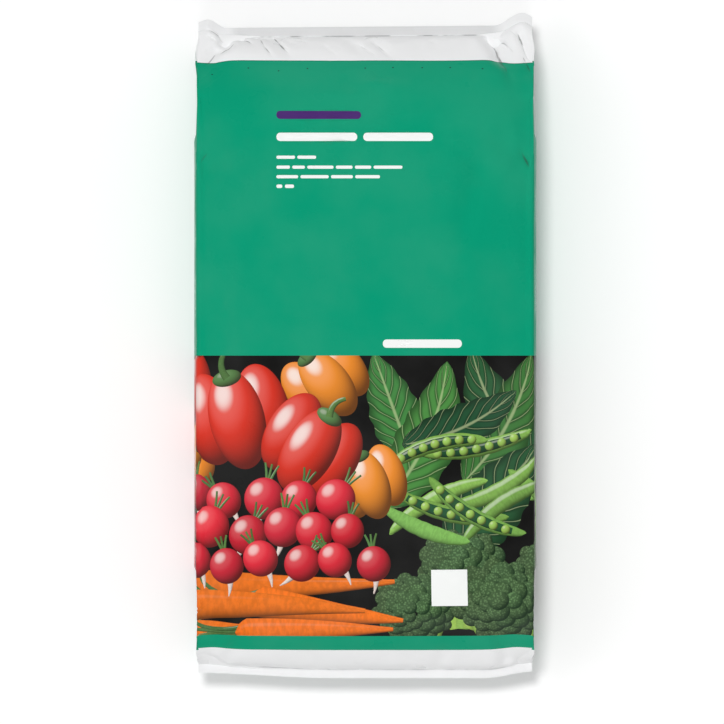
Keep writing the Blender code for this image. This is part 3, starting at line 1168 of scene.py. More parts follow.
        # Each pod: where its stalk's end is, and where its tip is
        places = (
            (0.205, 0.252, 0.068, 0.224), (0.33, 0.215, 0.205, 0.168), (0.3, 0.15, 0.175, 0.205),
            (0.024, 0.205, 0.15, 0.24), (0.03, 0.128, 0.15, 0.192), (0.218, 0.222, 0.092, 0.158),
            (0.036, 0.18, 0.176, 0.148), (0.12, 0.118, 0.232, 0.19), (0.022, 0.16, 0.128, 0.118),
            (0.196, 0.128, 0.078, 0.196), (0.345, 0.18, 0.245, 0.128),
        )
        for number, (across, up, end_across, end_up) in enumerate(places):
            shares = np.linspace(0.0, 1.0, 36)
            bumps = 1 + 0.07 * np.abs(np.sin(shares * math.pi * 7))
            widths = self.pod_width * np.sin(math.pi * shares) ** 0.45 * bumps + 0.0005
            bow = self.draw.choice((-1, 1)) * self.draw.uniform(0.006, 0.014)
            line = bowed((across, up), (end_across, end_up), bow, 36)
            tint = self.varied(self.pod)
            self.stalk(tuple(line[2]), tuple(line[0] * 1.08 - line[2] * 0.08), 0.002, 0.0022, tint)
            self.band(line, widths, tint)
            if number % 3 == 0:
                self.band(line[4:-4], widths[4:-4] * 0.62, self.varied(self.deep_leaf))
                for spot in line[6:-5:4]:
                    self.disc(tuple(spot), self.pea_radii, self.varied(self.pea, 0.08), 0.0, 0.3)

    def leaves(self) -> None:
        """The leaves, in the upper right corner and behind what lies on them."""
        # Each leaf: where its stalk's end is, where its tip is, and its half width
        places = (
            (0.3, 0.2, 0.36, 0.33, 0.04), (0.06, 0.21, 0.01, 0.345, 0.03),
            (0.25, 0.22, 0.29, 0.36, 0.036), (0.02, 0.16, 0.1, 0.335, 0.036),
            (0.235, 0.2, 0.13, 0.35, 0.036), (0.12, 0.19, 0.205, 0.345, 0.034),
            (0.045, 0.235, 0.185, 0.3, 0.028), (0.21, 0.1, 0.345, 0.12, 0.04),
            (0.1, 0.1, 0.215, 0.235, 0.04),
        )
        for number, (across, up, end_across, end_up, width) in enumerate(places):
            shares = np.linspace(0.0, 1.0, 44)
            frill = 1 + 0.05 * np.sin(shares * 38 + number)
            widths = width * np.sin(math.pi * shares**0.8) ** 0.75 * frill + 0.0006
            bow = self.draw.uniform(-0.02, 0.02)
            tint = self.varied(self.leaf if number % 2 else self.deep_leaf, 0.22)
            self.band(bowed((across, up), (end_across, end_up), bow, 44), widths, tint, Paint.LEAF)

    def florets(self) -> None:
        """The heads of close green florets, in the lower part of the right half."""
        # Each head: its middle and its size
        heads = (
            (0.31, 0.07, 0.055), (0.232, 0.078, 0.05), (0.118, 0.088, 0.052), (0.06, 0.036, 0.05),
            (0.17, 0.044, 0.06),
        )
        for across, up, size in heads:
            for aside in (-0.5, 0.0, 0.5):
                neck = (across + aside * size, up - size * 0.3)
                foot = (across + aside * size * 0.3, up - size * 1.5)
                self.stalk(neck, foot, 0.002, size * 0.26, self.varied(self.pea))
            for number in range(self.clumps):
                share = 1 - number / self.clumps
                angle = number * self.golden_angle
                far = size * 0.92 * math.sqrt(share)
                spot = (across + far * math.cos(angle), up + far * math.sin(angle) * 0.86)
                radius = size * self.draw.uniform(0.17, 0.25)
                light = 0.72 + 0.55 * (1 - share) + 0.16 * math.sin(angle + 0.8)
                tint = tuple(light * channel for channel in self.varied(self.floret, 0.14))
                self.disc(spot, (radius, radius * 0.94), tint, 0.0, 0.0, Paint.BUD)


@dataclass
class SackPrint:
    """The print on the front and sides: bands of white and green, a picture, and plain marks.

    Film distances are measured from the top weld.
    """

    shape: SackShape
    top_white: float = 0.0582
    bottom_white: float = 0.048
    strip: float = 0.0224
    picture: float = 0.3423
    seed: int = 3
    white: Colour = from_screen(250, 252, 250)
    purple: Colour = from_screen(74, 38, 112)
    # Painted shade: the dark green of the vent holes' small dents
    vent_shade_green: Colour = from_screen(6, 62, 48)
    vent_radii: Pair = (0.0011, 0.0008)
    word_gap: float = 0.75
    bar_rounding: float = 0.45
    panel_rounding: float = 0.01
    arc_steps: int = 4

    def __post_init__(self) -> None:
        """Works out where the rows of the print change."""
        self.strip_end = self.shape.film_length - self.bottom_white
        self.picture_end = self.strip_end - self.strip
        self.picture_start = self.picture_end - self.picture
        reach = self.shape.panel_width / 2 + 2 * self.shape.gusset_depth
        still_life = GardenPicture(self.picture_end, self.picture, reach)
        self.forms = [*still_life.forms, *self.marks(), *self.vent_holes()]

    def edges(self) -> tuple[float, float, float, float]:
        """The film distances at which the print changes."""
        return self.top_white, self.picture_start, self.picture_end, self.strip_end

    def ground(self, film: Array) -> Array:
        """The paint that lies under the forms.

        Args:
            film: Film distances.

        Returns:
            The paint's number at each distance.
        """
        order = list(Paint)
        bands = (Paint.WHITE, Paint.GREEN, Paint.GROUND, Paint.GREEN, Paint.WHITE)
        numbers = np.array([order.index(paint) for paint in bands])
        return numbers[np.searchsorted(self.edges(), film)]

    def vent_holes(self) -> list[Form]:
        """The row of pricked vent holes under the green block's top edge.

        Returns:
            One small dark disc for each hole, its dark green being painted shade in the hole's small dent.
        """
        places = ((-0.186, 0.076), (-0.1415, 0.069), (-0.105, 0.073), (-0.07, 0.07), (0.0, 0.07))
        places += ((0.0335, 0.069), (0.069, 0.069), (0.103, 0.069), (0.142, 0.0715))
        return [
            Disc.at(place, self.vent_radii, Paint.HOLE, self.vent_shade_green, seed=index * 0.1)
            for index, place in enumerate(places)
        ]

    def marks(self) -> list[Form]:
        """The plain bars on the green block, and the plain white panel on the picture.

        Returns:
            One form for each bar, and one for the panel.
        """
        draw = random.Random(self.seed)
        # Each line of bars: its start and end across, its film distance, height, bars and colour
        lines = (
            (-0.1085, -0.005, 0.1295, 0.01, 1, self.purple),
            (-0.1085, 0.083, 0.156, 0.01, 2, self.white),
            (-0.1085, -0.06, 0.1805, 0.0038, 2, self.white),
            (-0.1085, 0.0455, 0.1925, 0.0038, 6, self.white),
            (-0.1085, 0.018, 0.204, 0.0038, 4, self.white),
            (-0.1085, -0.087, 0.2155, 0.0042, 2, self.white),
        )
        found = []
        for start, end, film, height, count, tint in lines:
            gap = height * self.word_gap
            shares = [draw.uniform(0.6, 1.4) for _ in range(count)]
            room = end - start - gap * (count - 1)
            for share in shares:
                length = room * share / sum(shares)
                low, high = (start, film - height / 2), (start + length, film + height / 2)
                found.append(self.bar(low, high, self.bar_rounding, tint))
                start += length + gap
        found.append(self.bar((0.0215, 0.4), (0.118, 0.41), self.bar_rounding, self.white))
        found.append(self.bar((0.0805, 0.677), (0.125, 0.7215), self.panel_rounding, self.white))
        return found

    def bar(self, low: Pair, high: Pair, rounding: float, tint: Colour) -> Form:
        """A flat bar with rounded corners.

        Args:
            low: Its upper left corner as (across, film).
            high: Its lower right corner.
            rounding: The corners' radius as a share of its height.
            tint: Its colour.

        Returns:
            The form.
        """
        radius = (high[1] - low[1]) * rounding
        middle = (np.array(low) + np.array(high)) / 2
        points = []
        # Each corner, and the turn at which its arc starts
        corners = ((high[0], low[1], 0.75), (*high, 0.0), (low[0], high[1], 0.25), (*low, 0.5))
        for across, film, turn in corners:
            corner = np.array([across, film])
            centre = corner - radius * np.sign(corner - middle)
            for step in range(self.arc_steps + 1):
                angle = 2 * math.pi * (turn + step / (4 * self.arc_steps))
                points.append(centre + radius * np.array([math.cos(angle), math.sin(angle)]))
        return Form(without_repeats(np.array(points)), Paint.FLAT, tint)


# The mesh's own grid keeps this far away from outlines and folds
CELL = 0.0013


def rounded(across: float, film: float) -> tuple[int, int]:
    """A place on the flat film, in hundredths of a millimetre."""
    return round(across * PLACES_A_METRE), round(film * PLACES_A_METRE)


@dataclass
class SackSkin:
    """The closed skin of the sack, divided along the outlines of its print."""

    shape: SackShape
    relief: Relief
    print: SackPrint
    fin_step: float = 0.0024
    end_step: float = 0.0026
    middle_step: float = 0.0044
    columns: int = 100
    edge_crowding: float = 0.4
    gusset_columns: int = 14
    gusset_crowding: float = 1.2
    fold_spacing: float = 0.003
    fin_side: float = 0.0012
    weld_side: float = 0.0014
    sharp_edge: float = math.radians(55)

    def __post_init__(self) -> None:
        """Works out the rows along the film and the columns across it."""
        length, half = self.shape.film_length, self.shape.panel_width / 2
        marks = (-self.shape.top_fin, -self.fin_side, 0.0, self.weld_side, *self.print.edges())
        marks += (length - self.weld_side, length, length + self.fin_side, length + self.shape.bottom_fin)
        # The steps between the marks. One as long as the film leaves the gap whole
        half_steps = (self.fin_step, length, length, self.end_step, self.middle_step)
        steps = (*half_steps, self.middle_step, *reversed(half_steps))
        rows = [marks[0]]
        for start, end, step in zip(marks, marks[1:], steps):
            rows += list(np.linspace(start, end, max(math.ceil((end - start) / step), 1) + 1)[1:])
        self.rows = np.array(rows)
        even = np.linspace(-1.0, 1.0, self.columns + 1)
        crowded = even + (np.sin(math.pi / 2 * even) - even) * self.edge_crowding
        self.across = crowded * half
        tucks = np.linspace(0, 1, self.gusset_columns + 1)[1:] ** self.gusset_crowding
        self.gusset = np.concatenate((tucks, 2 - tucks[-2::-1], [2.0])) * self.shape.gusset_depth
        self.sheet_across = np.concatenate((-half - self.gusset[::-1], self.across, half + self.gusset))
        edges = self.print.edges()
        self.printed = [int(np.abs(self.rows - edge).argmin()) for edge in (edges[0], edges[-1])]
        self.ring: list[float] = []
        self.film: list[float] = []
        self.faces: list[tuple[int, ...]] = []

    def add_places(self, ring: Array, film: Array) -> Array:
        """Adds places on the film.

        Args:
            ring: Distances round the film.
            film: Distances along the film.

        Returns:
            The places' numbers.
        """
        first = len(self.ring)
        self.ring += [float(value) for value in np.ravel(ring)]
        self.film += [float(value) for value in np.ravel(film)]
        return np.arange(first, len(self.ring)).reshape(np.shape(ring))

    def outlines(self) -> list[Array]:
        """Ends the printed forms on rows of the mesh where they meet the sheet's side edges.

        Returns:
            The outline of each form.
        """
        for form in self.print.forms:
            outline = form.outline
            at_side = np.abs(np.abs(outline[:, 0]) - self.sheet_across[-1]) < 1e-7
            nearest = np.abs(self.rows[None, :] - outline[:, 1:2]).argmin(axis=1)
            on_row = np.stack((outline[:, 0], self.rows[nearest]), axis=-1)
            form.outline = without_repeats(np.where(at_side[:, None], on_row, outline))
        return [form.outline for form in self.print.forms]

    def grid(self, taken: set) -> tuple[list[Pair], list[Pair], list[tuple[int, int]]]:
        """The sheet's own grid: the front, and the sides where they are printed.

        Args:
            taken: The small cells that already hold points of outlines or folds.

        Returns:
            The places, and the edges that the mesh has to keep.
        """
        points, edges, kept = [], [], {}
        sides = len(self.gusset)
        last_row, last_column = len(self.rows) - 1, len(self.sheet_across) - 1
        front = range(sides, last_column - sides + 1)
        first, last = self.printed
        for row, film in enumerate(self.rows):
            printed = first <= row <= last
            at_end = row in (0, first, last, last_row)
            for column in range(last_column + 1) if printed else front:
                across = self.sheet_across[column]
                on_edge = at_end or column == (0 if printed else sides)
                on_edge = on_edge or column == last_column - (0 if printed else sides)
                if on_edge or (math.floor(across / CELL), math.floor(film / CELL)) not in taken:
                    kept[row, column] = len(points)
                    points.append((float(across), float(film)))
        ruled = {int(np.abs(self.rows - edge).argmin()) for edge in self.print.edges()}
        ruled |= {0, last_row}
        lines = [[(row, column) for column in range(last_column + 1)] for row in sorted(ruled)]
        for column in (sides, last_column - sides):
            lines.append([(row, column) for row in range(first + 1)])
            lines.append([(row, column) for row in range(last, last_row + 1)])
        lines += [[(row, column) for row in range(first, last + 1)] for column in (0, last_column)]
        for line in lines:
            numbers = [kept[place] for place in line if place in kept]
            edges += zip(numbers, numbers[1:])
        return points, edges

    def sheet(self) -> dict[tuple[int, int], int]:
        """Divides the front and the printed sides along the print's outlines and the fine folds.

        Returns:
            The numbers of the sheet's places, by their rounded (across, film).
        """
        loops = self.outlines()
        folds = [line for fold in FINE_FOLDS for line in fold.lines(self.fold_spacing)]
        half = self.shape.panel_width / 2
        folds = [line[np.abs(line[:, 0]) < half - 0.0008] for line in folds]
        taken = set()
        for line in (*loops, *folds):
            for column, row in np.floor(line / CELL).astype(int):
                taken.update((column + aside, row + down) for aside in (-1, 0, 1) for down in (-1, 0, 1))
        points, edges = self.grid(taken)
        for line in (*loops, *folds):
            first = len(points)
            points += [tuple(map(float, point)) for point in line]
            edges += [(first + step, first + step + 1) for step in range(len(line) - 1)]
            if len(points) - first > 2 and any(line is loop for loop in loops):
                edges.append((len(points) - 1, first))
        found = delaunay_2d_cdt([Vector(point) for point in points], edges, [], 0, 1e-6, False)
        flat = np.array([tuple(point) for point in found[0]])
        numbers = self.add_places(flat[:, 0] + half, flat[:, 1])
        low, high = (self.rows[row] for row in self.printed)
        for face in found[2]:
            across, film = flat[face].mean(axis=0)
            if abs(across) < half or low < film < high:
                self.faces.append(tuple(int(numbers[corner]) for corner in reversed(face)))
        return {rounded(*point): int(number) for point, number in zip(flat, numbers)}

    def strip(self, first: list[int], second: list[int]) -> None:
        """Adds a row of faces between two lines of places."""
        for a, b, c, d in zip(first, first[1:], second[1:], second):
            self.faces.append((int(a), int(b), int(c), int(d)))

    def side_rows(self, sheet: dict[tuple[int, int], int], side: int) -> list[list[int]]:
        """The places of each row of a side, from the front's crease to the back's.

        Args:
            sheet: The numbers of the sheet's places.
            side: 1 for the right side and -1 for the left.

        Returns:
            Each row's places. On a fin or a weld, and between the ends of the print, a row has the two
            creases only.
        """
        half = self.shape.panel_width / 2
        found = []
        for row, film in enumerate(self.rows):
            crease = sheet.get(rounded(side * half, film))
            if row in self.printed:
                places = [crease] + [sheet[rounded(side * (half + offset), film)] for offset in self.gusset]
            elif self.printed[0] < row < self.printed[1]:
                places = [crease, sheet[rounded(side * (half + self.gusset[-1]), film)]]
            else:
                opened = 1e-6 < film < self.shape.film_length - 1e-6
                offsets = self.gusset if opened else self.gusset[-1:]
                ring = half + side * (half + offsets)
                places = [crease, *self.add_places(ring, np.full(len(offsets), film))]
            found.append([place if place is None else int(place) for place in places])
        return found

    def build_side(self, rows: list[list[int]], side: int) -> None:
        """Makes the faces of a side outside its printed part, with its fins' cut edges.

        Args:
            rows: The places of each row of the side.
            side: 1 for the right side and -1 for the left.
        """
        first_face = len(self.faces)
        printed = range(self.printed[0], self.printed[1])
        for number, (upper, lower) in enumerate(zip(rows, rows[1:])):
            if number in printed:
                continue
            if len(upper) == len(lower):
                self.strip(upper, lower)
                continue
            weld, opened = (upper, lower) if len(upper) < len(lower) else (lower, upper)
            middle = len(opened) // 2
            corners = [weld[0] if step < middle else weld[1] for step in range(len(opened) - 1)]
            fans = list(zip(corners, opened, opened[1:]))
            fans.append((weld[0], opened[middle], weld[1]))
            self.faces += fans if weld is lower else [fan[::-1] for fan in fans]
        if side > 0:
            self.faces[first_face:] = [face[::-1] for face in self.faces[first_face:]]

    def build_faces(self) -> int:
        """Makes the printed sheet, the back, the rest of the sides and the fins' cut edges.

        Returns:
            How many faces the printed sheet has, which are the first ones.
        """
        sheet = self.sheet()
        sheet_faces = len(self.faces)
        right, left = self.side_rows(sheet, 1), self.side_rows(sheet, -1)
        half = self.shape.panel_width / 2
        columns, rows = np.meshgrid(self.across[1:-1], self.rows)
        inner = self.add_places(3 * half + 2 * self.shape.gusset_depth - columns, rows)
        back = [[at_left[-1], *line, at_right[-1]] for at_left, line, at_right in zip(left, inner, right)]
        for upper, lower in zip(back, back[1:]):
            self.strip(upper, lower)
        self.build_side(right, 1)
        self.build_side(left, -1)
        for row, back_line in ((0, back[0]), (-1, back[-1])):
            front_line = [sheet[rounded(across, self.rows[row])] for across in self.across]
            ends = (front_line, back_line) if row == 0 else (back_line, front_line)
            self.strip(*ends)
        return sheet_faces

    def mesh(self) -> bpy.types.Mesh:
        """Makes the skin in its place over the origin, with the print on its faces.

        Returns:
            The mesh.
        """
        sheet_faces = self.build_faces()
        ring, film = np.array(self.ring), np.array(self.film)
        plain = self.shape.points(ring, film)
        points = plain + self.relief.moves(ring, film)
        points[:, 2] = np.maximum(points[:, 2], 0.0)
        points[:, :2] -= (plain[:, :2].min(axis=0) + plain[:, :2].max(axis=0)) / 2
        mesh = bpy.data.meshes.new("film_sack")
        mesh.from_pydata(points.tolist(), [], self.faces)
        self.lay_print(mesh, ring, film, sheet_faces)
        return mesh

    def lay_print(self, mesh: bpy.types.Mesh, ring: Array, film: Array, sheet_faces: int) -> None:
        """Gives each face its paint, and each corner its colour and its place in the form.

        Args:
            mesh: The skin's mesh.
            ring: Where its places are round the film.
            film: Where they are along the film.
            sheet_faces: How many faces, from the first, are the printed sheet's.
        """
        across = ring - self.shape.panel_width / 2
        counts = np.empty(len(mesh.polygons), int)
        mesh.polygons.foreach_get("loop_total", counts)
        corners = np.empty(len(mesh.loops), int)
        mesh.loops.foreach_get("vertex_index", corners)
        face_of = np.repeat(np.arange(len(counts)), counts)
        middle = np.zeros((len(counts), 2))
        for axis, values in enumerate((across, film)):
            middle[:, axis] = np.bincount(face_of, values[corners]) / counts
        on_sheet = np.arange(len(counts)) < sheet_faces
        order = list(Paint)
        side = (middle[:, 1] > self.print.top_white) & (middle[:, 1] < self.print.strip_end)
        paints = np.where(side, order.index(Paint.GREEN), order.index(Paint.WHITE))
        paints = np.where(on_sheet, self.print.ground(middle[:, 1]), paints)
        form_of = np.full(len(counts), -1)
        for number, form in enumerate(self.print.forms):
            low, high = form.outline.min(axis=0), form.outline.max(axis=0)
            near = np.flatnonzero(on_sheet & (middle >= low).all(axis=1) & (middle <= high).all(axis=1))
            form_of[near[inside(middle[near], form.outline)]] = number
        spots = np.zeros((len(corners), 3), np.float32)
        tints = np.ones((len(corners), 4), np.float32)
        for number, form in enumerate(self.print.forms):
            faces = form_of == number
            paints[faces] = order.index(form.paint)
            chosen = np.flatnonzero(faces[face_of])
            if len(chosen):
                flat = np.stack((across[corners[chosen]], film[corners[chosen]]), axis=-1)
                spots[chosen] = form.spots(flat)
                tints[chosen] = (*form.tint, form.seed)
        mesh.attributes.new("spot", "FLOAT_VECTOR", "CORNER").data.foreach_set("vector", spots.ravel())
        mesh.attributes.new("tint", "FLOAT_COLOR", "CORNER").data.foreach_set("color", tints.ravel())
        nearer = np.minimum(film, self.shape.film_length - film)
        # The crease attribute marks where the film gets painted shade along the bottoms of its fine creases
        for name, values in (("from_weld", nearer), ("crease", self.relief.creases(ring, film))):
            mesh.attributes.new(name, "FLOAT", "POINT").data.foreach_set("value", values.astype(np.float32))
        mesh.polygons.foreach_set("material_index", paints.astype(np.int32))
        mesh.polygons.foreach_set("use_smooth", np.ones(len(counts), bool))
        mesh.set_sharp_from_angle(angle=self.sharp_edge)
        mesh.update()


class Board:
    """A node tree that is wired by calls, each of which returns the socket that it makes."""

    def __init__(self, tree: Tree) -> None:
        """Takes the tree to wire."""
        self.tree = tree

    def join(self, made: Socket, taker: Socket) -> None:
        """Links one socket to another."""
        self.tree.links.new(made, taker)

    def node(self, kind: str, inputs: dict | None = None, **settings: object) -> bpy.types.Node:
        """Adds a node.

        Args:
            kind: The node's type.
            inputs: Values or sockets for its inputs, by name or number.
            settings: The node's own settings.

        Returns:
            The node.
        """
        made = self.tree.nodes.new(kind)
        for name, value in settings.items():
            setattr(made, name, value)
        for name, value in (inputs or {}).items():
            if isinstance(value, Socket):
                self.join(value, made.inputs[name])
            else:
                made.inputs[name].default_value = value
        return made

    def math(self, operation: str, *values: Value) -> Socket:
        """Adds a Math node."""
        return self.node("ShaderNodeMath", dict(enumerate(values)), operation=operation).outputs[0]

    def plus(self, first: Value, second: Value) -> Socket:
        """Adds two values."""
        return self.math("ADD", first, second)

    def times(self, first: Value, second: Value) -> Socket:
        """Multiplies two values."""
        return self.math("MULTIPLY", first, second)

    def parts(self, vector: Socket) -> bpy.types.bpy_prop_collection:
        """The three values of a vector."""
        return self.node("ShaderNodeSeparateXYZ", {0: vector}).outputs

    def blend(self, share: Value, first: Fill, second: Fill) -> Socket:
        """Mixes two colours."""
        inputs = {0: share, 6: first, 7: second}
        return self.node("ShaderNodeMix", inputs, data_type="RGBA").outputs[2]

    def span(self, value: Socket, low: float, high: float, start: float = 0.0, end: float = 1.0) -> Socket:
        """Maps a value from one span to another, easing at both ends."""
        inputs = {0: value, 1: low, 2: high, 3: start, 4: end}
        return self.node("ShaderNodeMapRange", inputs, interpolation_type="SMOOTHSTEP").outputs[0]

    def noise(self, place: Socket, scale: float, detail: float = 2.0) -> Socket:
        """A noise value at this place."""
        return self.node("ShaderNodeTexNoise", {"Vector": place, "Scale": scale, "Detail": detail}).outputs[0]

    def read(self, name: str, output: str = "Fac") -> Socket:
        """Reads one of the mesh's own attributes, as a value, a colour or a vector."""
        return self.node("ShaderNodeAttribute", attribute_name=name).outputs[output]

    def tint(self) -> Socket:
        """The colour of the printed form."""
        return self.read("tint", "Color")

    def spot(self) -> Socket:
        """The place in the printed form."""
        return self.read("spot", "Vector")

    def place(self) -> Socket:
        """The place on the object, in metres."""
        return self.node("ShaderNodeTexCoord").outputs["Object"]

    def use(self, group: Tree, **inputs: Value) -> bpy.types.bpy_prop_collection:
        """Places a node group with its own values, and gives its outputs."""
        return self.node("ShaderNodeGroup", inputs, node_tree=group).outputs


def new_group(
    name: str, inputs: dict[str, tuple[str, object]], outputs: dict[str, str]
) -> tuple[Board, dict[str, Socket], bpy.types.bpy_prop_collection]:
    """Makes an empty shader node group.

    Args:
        name: The group's name.
        inputs: The kind and the plain value of each input.
        outputs: The kind of each output.

    Returns:
        The group's board, the sockets that it is given by name, and those that it puts out.
    """
    group = bpy.data.node_groups.new(name, "ShaderNodeTree")
    for title, (kind, value) in inputs.items():
        socket = group.interface.new_socket(title, in_out="INPUT", socket_type=kind)
        if value is not None:
            socket.default_value = value
    for title, kind in outputs.items():
        group.interface.new_socket(title, in_out="OUTPUT", socket_type=kind)
    given = {socket.name: socket for socket in group.nodes.new("NodeGroupInput").outputs}
    return Board(group), given, group.nodes.new("NodeGroupOutput").inputs


@dataclass
class SharedEffects:
    """The effects that several finishes use, each a node group that is built once."""

    lump_scale: float = 34
    streak_scale: float = 95
    streak_stretch: Triple = (1.0, 0.32, 1.0)
    cloud_scale: float = 11
    dome_light: Triple = (-0.42, 0.48, 0.77)
    tube_light: Pair = (0.64, 0.77)
    highlight: float = 0.86
    soft_highlight: float = 0.12

    def __post_init__(self) -> None:
        """Builds the groups."""
        self.spot_input = {"Spot": ("NodeSocketVector", None)}
        self.shade_outputs = {"Shade": "NodeSocketFloat", "Shine": "NodeSocketFloat"}
        self.crinkle = self.build_crinkle()
        self.mottle = self.build_mottle()
        self.dome = self.build_dome()
        self.tube = self.build_tube()

    def build_crinkle(self) -> Tree:
        """The height of the film's fine crinkles over the lumps of the filling.

        Returns:
            The group.
        """
        number = ("NodeSocketFloat", 1.0)
        inputs = {"Place": ("NodeSocketVector", None), "Lumps": number, "Creases": number}
        board, given, out = new_group("film_crinkle", inputs, {"Height": "NodeSocketFloat"})
        lumps = board.noise(given["Place"], self.lump_scale, 3)
        factors = {0: given["Place"], 1: self.streak_stretch}
        drawn_out = board.node("ShaderNodeVectorMath", factors, operation="MULTIPLY").outputs[0]
        streaks = board.times(board.noise(drawn_out, self.streak_scale, 2), given["Creases"])
        board.join(board.math("MULTIPLY_ADD", lumps, given["Lumps"], streaks), out["Height"])
        return board.tree

    def build_mottle(self) -> Tree:
        """A colour with the small unevenness of ink on stretched film.

        Returns:
            The group.
        """
        inputs = {"Place": ("NodeSocketVector", None), "Colour": ("NodeSocketColor", None)}
        inputs["Share"] = ("NodeSocketFloat", 0.06)
        board, given, out = new_group("ink_mottle", inputs, {"Colour": "NodeSocketColor"})
        cloud = board.span(board.noise(given["Place"], self.cloud_scale, 4), 0.3, 0.7)
        light = board.blend(given["Share"], given["Colour"], (1.0, 1.0, 1.0, 1.0))
        dark = board.blend(given["Share"], given["Colour"], (0.0, 0.0, 0.0, 1.0))
        board.join(board.blend(cloud, dark, light), out["Colour"])
        return board.tree

    def build_dome(self) -> Tree:
        """The shade and the shine of a dome that is drawn in a unit circle.

        Returns:
            The group.
        """
        board, given, out = new_group("drawn_dome", self.spot_input, self.shade_outputs)
        across, high, gloss = board.parts(given["Spot"])
        square = board.plus(board.times(across, across), board.times(high, high))
        up = board.math("SQRT", board.math("MAXIMUM", board.math("SUBTRACT", 1.0, square), 0.0))
        facing = board.plus(board.times(across, self.dome_light[0]), board.times(high, self.dome_light[1]))
        facing = board.plus(facing, board.times(up, self.dome_light[2]))
        board.join(board.span(facing, -0.25, 0.95), out["Shade"])
        bright = board.span(facing, 0.9, 1.0, 0.0, self.highlight)
        bright = board.plus(bright, board.span(facing, 0.6, 1.0, 0.0, self.soft_highlight))
        board.join(board.times(bright, gloss), out["Shine"])
        return board.tree

    def build_tube(self) -> Tree:
        """The shade and the shine of a long rounded form.

        Returns:
            The group.
        """
        board, given, out = new_group("drawn_tube", self.spot_input, self.shade_outputs)
        across, along, facing = board.parts(given["Spot"])
        up = board.math("SQRT", board.math("SUBTRACT", 1.0, board.times(across, across)))
        lit = board.times(board.times(across, facing), self.tube_light[0])
        lit = board.plus(lit, board.times(up, self.tube_light[1]))
        ends = board.times(board.span(along, 0.0, 0.1), board.span(along, 1.0, 0.88))
        board.join(board.span(lit, -0.3, 0.92), out["Shade"])
        board.join(board.times(board.span(lit, 0.9, 0.99), ends), out["Shine"])
        return board.tree


@dataclass(frozen=True)
class FilmFinish:
    """The finish of the polythene film, whichever ink is on it, with painted shade along its fine creases."""

    roughness: float = 0.36
    roughness_spread: float = 0.1
    rough_scale: float = 23
    specular: float = 0.08
    crinkle: float = 0.001
    lumps: float = 0.7
    creases: float = 0.12
    mottle: float = 0.012
    # Painted shade: the film's colour is mixed towards grey along the bottoms of the fine creases
    least_crease: float = 0.22
    crease_shade: float = 0.66
    crease_shade_colour: Colour = (0.05, 0.05, 0.05)

    def inked(self, name: str, effects: SharedEffects, ink: Colour | Callable) -> bpy.types.Material:
        """Makes a film material with an ink on it.

        Args:
            name: The material's name.
            effects: The shared node groups.
            ink: A colour, or a function that takes the board and gives the socket of a colour.

        Returns:
            The material.
        """
        made = bpy.data.materials.new(name)
        made.use_nodes = True
        board = Board(made.node_tree)
        shader = made.node_tree.nodes["Principled BSDF"]
        shader.inputs["Specular IOR Level"].default_value = self.specular
        place = board.place()
        low, high = self.roughness - self.roughness_spread, self.roughness + self.roughness_spread
        rough = board.span(board.noise(place, self.rough_scale, 3), 0.3, 0.7, low, high)
        board.join(rough, shader.inputs["Roughness"])
        height = board.use(effects.crinkle, Place=place, Lumps=self.lumps, Creases=self.creases)[0]
        bump = board.node("ShaderNodeBump", {"Strength": 1.0, "Distance": self.crinkle, "Height": height})
        board.join(bump.outputs[0], shader.inputs["Normal"])
        colour = (*ink, 1.0) if isinstance(ink, tuple) else ink(board)
        mottled = board.use(effects.mottle, Place=place, Colour=colour, Share=self.mottle)[0]
        # Painted shade along the crease bottoms, over the ink's colour
        crease_shadow = board.span(board.read("crease"), self.least_crease, 1.0, 0.0, self.crease_shade)
        board.join(board.blend(crease_shadow, mottled, (*self.crease_shade_colour, 1.0)), shader.inputs["Base Color"])
        return made


